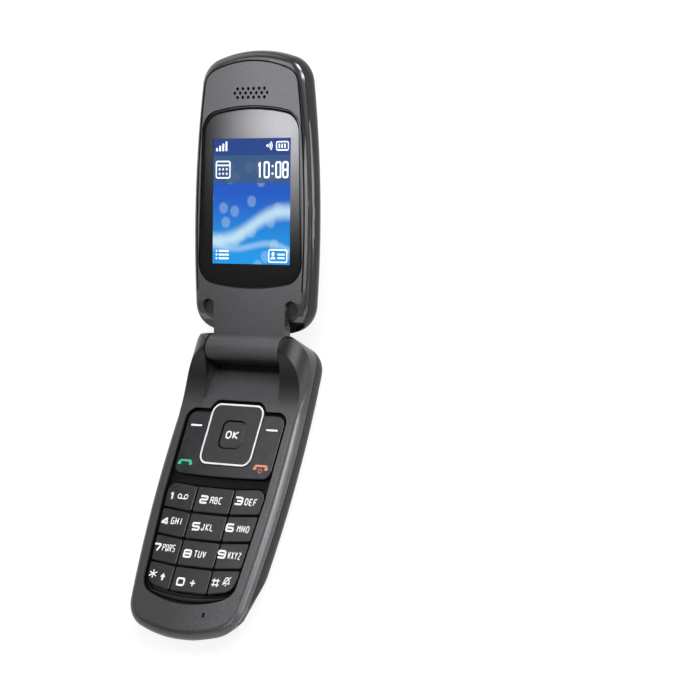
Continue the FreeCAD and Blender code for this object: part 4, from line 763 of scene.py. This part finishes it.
def dress_nodes():
    """Materials for every CAD node, shown and hidden."""
    dress(front_shell(), "front_case")
    dress(rear_shell(), "rear_case")
    dress(textured_cover(), "battery_cover")
    dress(lid_panel(), "lid_inner_case")
    dress(gloss("lid_rim", Metallic=RIM_METALLIC), "lid_frame")
    dress(moulded("lid_caps"), "screw_caps")
    dress(gloss("lid_black"), "lid_outer_cover")
    dress(moulded("keys", KEY_GRAIN_DEPTH), *[f"key_{key}" for key in LEGEND_PLACES])
    dress(moulded("plate", KEY_GRAIN_DEPTH), "function_plate")
    dress(moulded("nav", KEY_GRAIN_DEPTH), "nav_key", "ok_key")
    dress(ring_plated(), "nav_ring")
    dress(clear_window(), "screen_window")
    dress(gloss("display"), "lcd_panel")
    dress(moulded("light_guide"), "backlight")
    dress(moulded("rubber"), "keymat", "earpiece_gasket", "mic_boot")
    dress(moulded("board"), "main_board", "lid_board")
    dress(metal("steel"), "case_screws", "lid_screws", "hinge_pin", "hinge_shaft", "hinge_cartridge",
          "key_domes", "rf_shield", "vibrator_motor", "vibrator_weight", "lid_magnet", "charge_socket",
          "battery_contacts", "sim_holder")
    dress(moulded("black_parts"), "flex_connector", "hall_sensor", "antenna", "earpiece", "microphone")
    dress(moulded("flex"), "hinge_flex")
    dress(moulded("battery"), "battery")
    dress(moulded("sim_card"), "sim_card")


def lid_points(node):
    """The corners of a CAD node in the lid's own axes."""
    inverse = LID.inverted()
    return [inverse @ vertex.co for vertex in NODES[node].data.vertices]


def make_object(name, mesh, material):
    """An object of the bmesh, with its material."""
    data = bpy.data.meshes.new(name)
    mesh.to_mesh(data)
    mesh.free()
    data.materials.append(material)
    thing = bpy.data.objects.new(name, data)
    bpy.context.scene.collection.objects.link(thing)
    return thing


def finish_piece(name, mesh, material, body, place=BASE):
    """Makes a piece of the bmesh, in the axes of place, that rides on the body."""
    bmesh.ops.recalc_face_normals(mesh, faces=mesh.faces)
    piece = make_object(name, mesh, material)
    piece.matrix_world = place
    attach(piece, body)
    return piece


def round_corners(points, radius):
    """The stroke with each corner as a short arc; a stroke that ends where it began stays closed."""
    closed = len(points) > 2 and points[0] == points[-1]
    core = points[:-1] if closed else points
    rounded = []
    for index, corner in enumerate(core):
        if not closed and index in (0, len(core) - 1):
            rounded.append(corner)
            continue
        before = core[index - 1] - corner
        after = core[(index + 1) % len(core)] - corner
        reach = min(radius, before.length / 2, after.length / 2)
        start = corner + before.normalized() * reach
        end = corner + after.normalized() * reach
        for step in range(ROUND_STEPS + 1):
            share = step / ROUND_STEPS
            rounded.append(start.lerp(corner, share).lerp(corner.lerp(end, share), share))
    return rounded + rounded[:1] if closed else rounded


def add_ribbon(mesh, points, width, low, high):
    """A flat ribbon along the stroke, from height low to high."""
    closed = len(points) > 2 and (points[0] - points[-1]).length < SAME_PLACE
    core = points[:-1] if closed else points
    edges = []
    for index, point in enumerate(core):
        before = core[index - 1] if closed or index else None
        after = core[(index + 1) % len(core)] if closed or index < len(core) - 1 else None
        into = (point - before).normalized() if before is not None else (after - point).normalized()
        out = (after - point).normalized() if after is not None else into
        along = (into + out).normalized()
        side = Vector((-along.y, along.x)) * width / 2 / max(along.dot(into), MITRE_LIMIT)
        edges.append((point + side, point - side))
    rings = []
    for left, right in edges:
        section = ((left, high), (right, high), (right, low), (left, low))
        rings.append([mesh.verts.new((flat.x, flat.y, level)) for flat, level in section])
    next_rings = rings[1:] + rings[:1] if closed else rings[1:]
    for first, second in zip(rings, next_rings):
        for corner in range(len(first)):
            following = (corner + 1) % len(first)
            mesh.faces.new((first[corner], first[following], second[following], second[corner]))
    if not closed:
        mesh.faces.new(rings[0])
        mesh.faces.new(rings[-1])


def add_disc(mesh, centre, radius, low, high, sides=24):
    """A round dot from height low to high."""
    place = Matrix.Translation((centre.x, centre.y, (low + high) / 2))
    bmesh.ops.create_cone(mesh, cap_ends=True, segments=sides, radius1=radius, radius2=radius,
                          depth=high - low, matrix=place)


def add_shape(mesh, corners, low, high):
    """A filled flat outline from height low to high."""
    rings = [[mesh.verts.new((corner.x, corner.y, level)) for corner in corners] for level in (low, high)]
    for index in range(len(corners)):
        following = (index + 1) % len(corners)
        mesh.faces.new((rings[0][index], rings[0][following], rings[1][following], rings[1][index]))
    for ring in rings:
        mesh.faces.new(ring)


def add_slab(mesh, low, high):
    """A block between two corners."""
    place = Matrix.Translation((low + high) / 2) @ Matrix.Diagonal((*(high - low), 1.0))
    bmesh.ops.create_cube(mesh, size=1.0, matrix=place)


def add_ridge(mesh, points, widths, low, height, sides=6):
    """A bar with a half-round section along flat points, of a width at each, standing on a level."""
    rings = []
    for index, (point, width) in enumerate(zip(points, widths)):
        along = (points[min(index + 1, len(points) - 1)] - points[max(index - 1, 0)]).normalized()
        across = Vector((-along.y, along.x)) * width / 2
        ring = []
        for step in range(sides + 1):
            angle = math.pi * step / sides
            flat = point + across * math.cos(angle)
            ring.append(mesh.verts.new((flat.x, flat.y, low + height * math.sin(angle))))
        rings.append(ring)
    for first, second in zip(rings, rings[1:]):
        for corner in range(sides):
            mesh.faces.new((first[corner], first[corner + 1], second[corner + 1], second[corner]))
        mesh.faces.new((first[sides], first[0], second[0], second[sides]))
    mesh.faces.new(rings[0])
    mesh.faces.new(rings[-1])


def add_glyph(mesh, glyph, centre, size, stroke, low, high):
    """One glyph of the stroke table, this wide and high about its centre, in metres."""
    span = Vector(size) - Vector((stroke, stroke))
    for order, text in enumerate(GLYPHS[glyph]):
        top = high + order * PRINT_STEP * MM
        points = []
        for pair in text.split():
            share = Vector((int(pair[0]) / GRID.x - 0.5, int(pair[1]) / GRID.y - 0.5))
            points.append(centre + Vector((share.x * span.x, share.y * span.y)))
        if len(points) == 2 and points[0] == points[1]:
            add_disc(mesh, points[0], stroke * DOT_STROKES, low, top)
            continue
        add_ribbon(mesh, round_corners(points, stroke * ROUND_STROKES), stroke, low, top)


def add_word(mesh, word, centre, pitch, height, stroke, low, high):
    """A run of glyphs at this pitch about its centre, in metres."""
    size = (pitch - stroke * LETTER_GAP_STROKES, height)
    for index, glyph in enumerate(word):
        place = centre + Vector(((index - (len(word) - 1) / 2) * pitch, 0.0))
        add_glyph(mesh, glyph, place, size, stroke, low, high)


def arc_points(centre, radius, start, turn, steps=20):
    """Points round a centre from one angle through a turn, in degrees."""
    angles = [math.radians(start + turn * step / steps) for step in range(steps + 1)]
    return [centre + Vector((math.cos(angle), math.sin(angle))) * radius for angle in angles]


def print_heights(node):
    """The low and high of ink on a node's top face."""
    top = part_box(node)[1].z
    return top - PRINT_THICK * MM, top + PRINT_THICK * MM / 2


def stroke_points(kind, origin, start, shape, stroke):
    """The points along a line, an arc, a bell, an arch or an outline of a mark, in metres."""
    if kind == "line":
        return [start, origin + Vector(shape[0]) * MM]
    if kind == "arc":
        radius, angle, turn, steps = shape
        return arc_points(start, radius * MM, angle, turn, steps)
    if kind == "bell":
        radius, foot, steps = shape
        right = origin + Vector(foot) * MM
        left = origin + Vector((-foot[0], foot[1])) * MM
        return [left, *arc_points(start, radius * MM, 180, -180, steps), right, left]
    half = Vector(shape[0]) * MM / 2
    signs = ((-1, -1), (1, -1), (1, 1), (-1, 1), (-1, -1))
    rounding = stroke * BOX_ROUND_STROKES * MM
    if kind == "arch":
        signs = ((-1, -1), (-1, 1), (1, 1), (1, -1))
        rounding = half.y
    return round_corners([start + Vector((x * half.x, y * half.y)) for x, y in signs], rounding)


def add_part(mesh, origin, low, high, kind, place, *shape):
    """One part of a mark, in millimetres from an origin in metres."""
    start = origin + Vector(place) * MM
    if kind == "dot":
        radius, sides = shape
        add_disc(mesh, start, radius * MM, low, high, sides)
    elif kind == "bar":
        end = start + Vector(shape[0]) * MM
        add_slab(mesh, Vector((*start, low)), Vector((*end, high)))
    elif kind == "head":
        x, y = shape[0]
        add_shape(mesh, [origin + Vector((-x, y)) * MM, origin + Vector((x, y)) * MM, start], low, high)
    else:
        *shape, stroke = shape
        add_ribbon(mesh, stroke_points(kind, origin, start, shape, stroke), stroke * MM, low, high)


def key_sign(mesh, key, centre, low, high):
    """The second mark on the keys that have no letters, with its last part a step higher."""
    *parts, last = SECOND_MARKS[key]
    for part in parts:
        add_part(mesh, centre, low, high, *part)
    add_part(mesh, centre, low, high + PRINT_STEP * MM, *last)


def add_letters(mesh, key, centre, low, high):
    """A number key's letters, set closer where there are four."""
    word = KEY_LETTERS[key]
    pitch, stroke = LETTER_PITCH, LETTER_STROKE
    if len(word) == LONG_WORD:
        pitch, stroke = LETTER_PITCH_LONG, LETTER_STROKE_LONG
    add_word(mesh, word, centre, pitch * MM, LETTERS_HEIGHT * MM, stroke * MM, low, high)


def number_legends(ink):
    """White digits with their letters or signs on the twelve number keys."""
    for key, (digit_place, second_place) in LEGEND_PLACES.items():
        low, high = print_heights(f"key_{key}")
        mesh = bmesh.new()
        size, stroke = (SIGN_SIZE, SIGN_STROKE) if key in KEY_SIGNS else (DIGIT_SIZE, DIGIT_STROKE)
        add_glyph(mesh, KEY_SIGNS.get(key, key), Vector(digit_place) * MM, scaled(size, MM), stroke * MM,
                  low, high)
        second = Vector(second_place) * MM
        if key in KEY_LETTERS:
            add_letters(mesh, key, second, low, high)
        else:
            key_sign(mesh, key, second, low, high)
        finish_piece(f"legend_{key}", mesh, ink, f"number_{key}")


def touch_marks(material):
    """The two small raised bars that a finger finds on the middle number key."""
    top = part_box("key_5")[1].z
    reach = Vector(TOUCH_REACH) * MM
    widths = scaled(TOUCH_WIDTHS, MM)
    mesh = bmesh.new()
    for place in TOUCH_PLACES:
        middle = Vector(place) * MM
        add_ridge(mesh, [middle - reach, middle, middle + reach], widths, top, TOUCH_HEIGHT * MM)
    finish_piece("touch_marks", mesh, material, "number_5")


def key_lip():
    """The gloss black lip that curves along the recess under the number keys."""
    mesh = bmesh.new()
    points = []
    widths = []
    for step in range(LIP_STEPS + 1):
        share = 2 * step / LIP_STEPS - 1
        points.append(Vector((share * LIP_HALF, LIP_MIDDLE + LIP_RISE * share ** 2)) * MM)
        widths.append((LIP_WIDTH - (LIP_WIDTH - LIP_END_WIDTH) * share ** 2) * MM)
    add_ridge(mesh, points, widths, LIP_FLOOR * MM, LIP_HEIGHT * MM, LIP_SIDES)
    piece = finish_piece("key_lip", mesh, gloss("lip_black"), "base")
    for polygon in piece.data.polygons:
        polygon.use_smooth = True


def ok_word(ink):
    """The word on the middle key."""
    low, high = print_heights("ok_key")
    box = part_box("ok_key")
    middle = (box[0] + box[1]) / 2
    pitch = OK_SIZE[0] + OK_STROKE
    mesh = bmesh.new()
    add_word(mesh, "OK", middle.to_2d(), pitch * MM, OK_SIZE[1] * MM, OK_STROKE * MM, low, high)
    finish_piece("legend_ok", mesh, ink, "ok")


def function_legends(white):
    """The soft keys' dashes, the call, end and power signs, and the word on the middle key."""
    low, high = print_heights("function_plate")
    for name, (ink, place, flat, raised) in FUNCTION_MARKS.items():
        mesh = bmesh.new()
        centre = Vector(place) * MM
        for part in flat:
            add_part(mesh, centre, low, high, *part)
        for part in raised:
            add_part(mesh, centre, low, high + PRINT_STEP * MM, *part)
        material = white if ink == "ink_white" else printed(ink)
        finish_piece(f"legend_{name}", mesh, material, "function")
    ok_word(white)


def convex_outline(points):
    """The corners of the smallest convex outline round flat points, in order."""
    ordered = sorted({(round(point.x, OUTLINE_DIGITS), round(point.y, OUTLINE_DIGITS)) for point in points})
    outline = []
    for run in (ordered, ordered[::-1]):
        start = len(outline)
        for x, y in run:
            while len(outline) - start >= 2:
                (ax, ay), (bx, by) = outline[-2:]
                if (bx - ax) * (y - ay) - (by - ay) * (x - ax) > 0:
                    break
                outline.pop()
            outline.append((x, y))
        outline.pop()
    return [Vector(corner) for corner in outline]


def window_print(outline, low):
    """Ink on the back of the window, with its painted reflection, open where the display shows."""
    half = VIEW_WIDTH * MM / 2
    opening = [Vector((-half, VIEW_LOW * MM)), Vector((half, VIEW_LOW * MM)),
               Vector((half, VIEW_HIGH * MM)), Vector((-half, VIEW_HIGH * MM))]
    mesh = bmesh.new()
    edges = []
    for loop in (outline, opening):
        corners = [mesh.verts.new((point.x, point.y, low + WINDOW_INK_LIFT * MM)) for point in loop]
        edges += [mesh.edges.new(pair) for pair in zip(corners, corners[1:] + corners[:1])]
    faces = bmesh.ops.triangle_fill(mesh, edges=edges, use_beauty=True)["geom"]
    sheet = [face for face in faces if isinstance(face, bmesh.types.BMFace)]
    raised = bmesh.ops.extrude_face_region(mesh, geom=sheet)["geom"]
    moved = [corner for corner in raised if isinstance(corner, bmesh.types.BMVert)]
    bmesh.ops.translate(mesh, vec=(0.0, 0.0, WINDOW_INK_THICK * MM), verts=moved)
    finish_piece("window_print", mesh, painted_reflection_ink(), "lid", LID)


def window_edge(outline, low):
    """The black line printed along the window's edge."""
    middle = sum(outline, Vector((0.0, 0.0))) / len(outline)
    line = [corner + (middle - corner).normalized() * EDGE_INSET * MM for corner in outline]
    foot = low + EDGE_LIFT * MM
    mesh = bmesh.new()
    add_ribbon(mesh, line + line[:1], EDGE_WIDTH * MM, foot, foot + EDGE_THICK * MM)
    edge = gloss("window_edge", Specular_IOR_Level=0.0)
    finish_piece("window_edge", mesh, edge, "lid", LID)


def window_inks():
    """What is printed on the back of the window."""
    points = lid_points("screen_window")
    outline = convex_outline([point.to_2d() for point in points])
    low = min(point.z for point in points)
    window_print(outline, low)
    window_edge(outline, low)


def panel_seam_shade():
    """A dark strip of painted shade in the seam between the lid's panel and its rim, open towards the
    hinge.
    """
    points = [point for point in lid_points("lid_inner_case") if point.y > SEAM_START * MM]
    top = max(point.z for point in points)
    foot = top - SEAM_DEPTH * MM
    outline = convex_outline([point.to_2d() for point in points if point.z > foot])
    start = outline.index(max(outline, key=lambda corner: corner.x - corner.y))
    line = outline[start:] + outline[:start]
    mesh = bmesh.new()
    add_ribbon(mesh, line, SEAM_WIDTH * MM, foot, top + PRINT_STEP * MM)
    seam = gloss("panel_seam_shade", Specular_IOR_Level=SEAM_SPECULAR)
    finish_piece("panel_seam_shade", mesh, seam, "lid", LID)


def screen_content():
    """The lit picture and the plain marks on it."""
    top = max(point.z for point in lid_points("lcd_panel"))
    half = VIEW_WIDTH * MM / 2
    picture_low = top + PICTURE_LIFT * MM
    mesh = bmesh.new()
    add_slab(mesh, Vector((-half, VIEW_LOW * MM, picture_low)),
             Vector((half, VIEW_HIGH * MM, picture_low + PICTURE_THICK * MM)))
    finish_piece("screen_picture", mesh, lit_picture(), "lid", LID)
    low = top + MARK_LIFT * MM
    high = low + PRINT_THICK * MM
    white = printed("screen_white")
    mesh = bmesh.new()
    size = scaled(CLOCK_SIZE, MM)
    for glyph, x in zip(CLOCK, CLOCK_X):
        add_glyph(mesh, glyph, Vector((x, CLOCK_Y)) * MM, size, CLOCK_STROKE * MM, low, high)
    finish_piece("screen_clock", mesh, white, "lid", LID)
    for name, parts in SCREEN_MARKS.items():
        mesh = bmesh.new()
        for part in parts:
            add_part(mesh, Vector((0.0, 0.0)), low, high, *part)
        finish_piece(f"screen_{name}", mesh, white, "lid", LID)


def cover_arrow(material):
    """The raised arrow at the top of the battery cover that shows which way it slides."""
    corners = ((-ARROW_HALF, ARROW_FOOT), (ARROW_HALF, ARROW_FOOT), (0.0, ARROW_TIP))
    outline = [Vector(corner) * MM for corner in corners + corners[:1]]
    mesh = bmesh.new()
    add_ribbon(mesh, round_corners(outline, ARROW_ROUND * MM), ARROW_STROKE * MM, *scaled(ARROW_LEVELS, MM))
    finish_piece("cover_arrow", mesh, material, "cover")


def stage_mesh(name, mesh, material):
    """A mesh that belongs to the studio and not to the part."""
    thing = make_object(name, mesh, material)
    for polygon in thing.data.polygons:
        polygon.use_smooth = True
    return thing


def floor_material():
    """A white floor that keeps the shadow near the part and is plain white further off."""
    shade = Shade("floor_white")
    path = shade.add("ShaderNodeLightPath", {})
    shown = shade.math("MAXIMUM", path.outputs["Is Camera Ray"], path.outputs["Is Glossy Ray"])
    shown = shade.math("MAXIMUM", shown, path.outputs["Is Transmission Ray"])
    coordinates = shade.add("ShaderNodeTexCoord", {})
    radius = shade.add("ShaderNodeVectorMath", {0: coordinates.outputs["Object"]}, operation="LENGTH")
    strength = shade.span(radius.outputs["Value"], *FLOOR_FADE, *FLOOR_GLOW)
    glow = shade.add("ShaderNodeEmission", {"Color": grey(1.0), "Strength": strength})
    near = shade.add("ShaderNodeBsdfDiffuse", {"Color": grey(FLOOR_SEEN)})
    seen = shade.add("ShaderNodeAddShader", {0: glow.outputs[0], 1: near.outputs[0]})
    plain = shade.add("ShaderNodeBsdfDiffuse", {"Color": grey(FLOOR_UNSEEN)})
    shade.show(shade.add("ShaderNodeMixShader", {0: shown, 1: plain.outputs[0], 2: seen.outputs[0]}))
    return shade.material


def build_floor():
    """A round white floor that turns up into a wall all round."""
    profile = [Vector((FLOOR_HOLE, 0.0, 0.0)), Vector((FLOOR_RADIUS, 0.0, 0.0))]
    for step in range(1, COVE_STEPS + 1):
        angle = math.pi / 2 * step / COVE_STEPS
        out = FLOOR_RADIUS + COVE_RADIUS * math.sin(angle)
        profile.append(Vector((out, 0.0, COVE_RADIUS * (1 - math.cos(angle)))))
    profile.append(Vector((FLOOR_RADIUS + COVE_RADIUS, 0.0, WALL_TOP)))
    mesh = bmesh.new()
    corners = [mesh.verts.new(point) for point in profile]
    edges = [mesh.edges.new(pair) for pair in zip(corners, corners[1:])]
    bmesh.ops.spin(mesh, geom=corners + edges, axis=(0, 0, 1), cent=(0, 0, 0), angle=2 * math.pi,
                   steps=FLOOR_STEPS)
    bmesh.ops.remove_doubles(mesh, verts=mesh.verts, dist=WELD)
    hole = [edge for edge in mesh.edges if edge.is_boundary and edge.verts[0].co.z < WELD]
    bmesh.ops.holes_fill(mesh, edges=hole)
    floor = stage_mesh("floor", mesh, floor_material())
    floor.location.z = CAD_BOX[0].z - FLOOR_GAP * MM


def softbox(name, place, size, strength, soft, level):
    """A panel of light, bright in its middle and fading at its edges, that faces the part or lies level."""
    shade = Shade(name)
    fades = []
    for value, length in zip(shade.axes(), size):
        edge = length / 2 / MM
        fades.append(shade.span(shade.math("ABSOLUTE", value), edge, edge * (1 - soft)))
    glow = shade.math("MULTIPLY", shade.both(*fades), strength)
    shade.show(shade.add("ShaderNodeEmission", {"Color": grey(1.0), "Strength": glow}))
    half = Vector(size) / 2
    signs = ((-1, -1), (1, -1), (1, 1), (-1, 1))
    mesh = bmesh.new()
    mesh.faces.new([mesh.verts.new((x * half.x, y * half.y, 0.0)) for x, y in signs])
    panel = stage_mesh(name, mesh, shade.material)
    panel.location = place
    if not level:
        panel.rotation_mode = "QUATERNION"
        panel.rotation_quaternion = Vector(place).to_track_quat("Z", "Y")
    panel.visible_camera = False


def build_light():
    """Soft studio light: panels at the right, left, overhead and behind, and a surround."""
    for name, panel in LIGHTS.items():
        softbox(name, *panel)
    world = bpy.data.worlds.new("surround")
    bpy.context.scene.world = world
    world.use_nodes = True
    background = world.node_tree.nodes["Background"]
    background.inputs["Color"].default_value = grey(1.0)
    background.inputs["Strength"].default_value = SURROUND_STRENGTH


def build_camera():
    """The camera at the photograph's viewing angle."""
    data = bpy.data.cameras.new("camera")
    data.lens = CAMERA_LENS
    data.sensor_width = CAMERA_SENSOR
    data.clip_start, data.clip_end = CAMERA_CLIP
    camera = bpy.data.objects.new("camera", data)
    bpy.context.scene.collection.objects.link(camera)
    right = CAMERA_LOOK.cross(CAMERA_UP).normalized()
    up = right.cross(CAMERA_LOOK).normalized()
    turn = Matrix((right, up, -CAMERA_LOOK.normalized())).transposed()
    camera.matrix_world = Matrix.Translation(CAMERA_PLACE * MM) @ turn.to_4x4()
    bpy.context.scene.camera = camera


dress_nodes()
# The key legends' glow is painted light
legend_ink = printed("ink_white")
number_legends(legend_ink)
function_legends(legend_ink)
touch_marks(NODES["key_5"].data.materials[0])
key_lip()
window_inks()
panel_seam_shade()
screen_content()
cover_arrow(NODES["battery_cover"].data.materials[0])
build_floor()
build_light()
build_camera()
bpy.context.scene.view_settings.view_transform = "Standard"
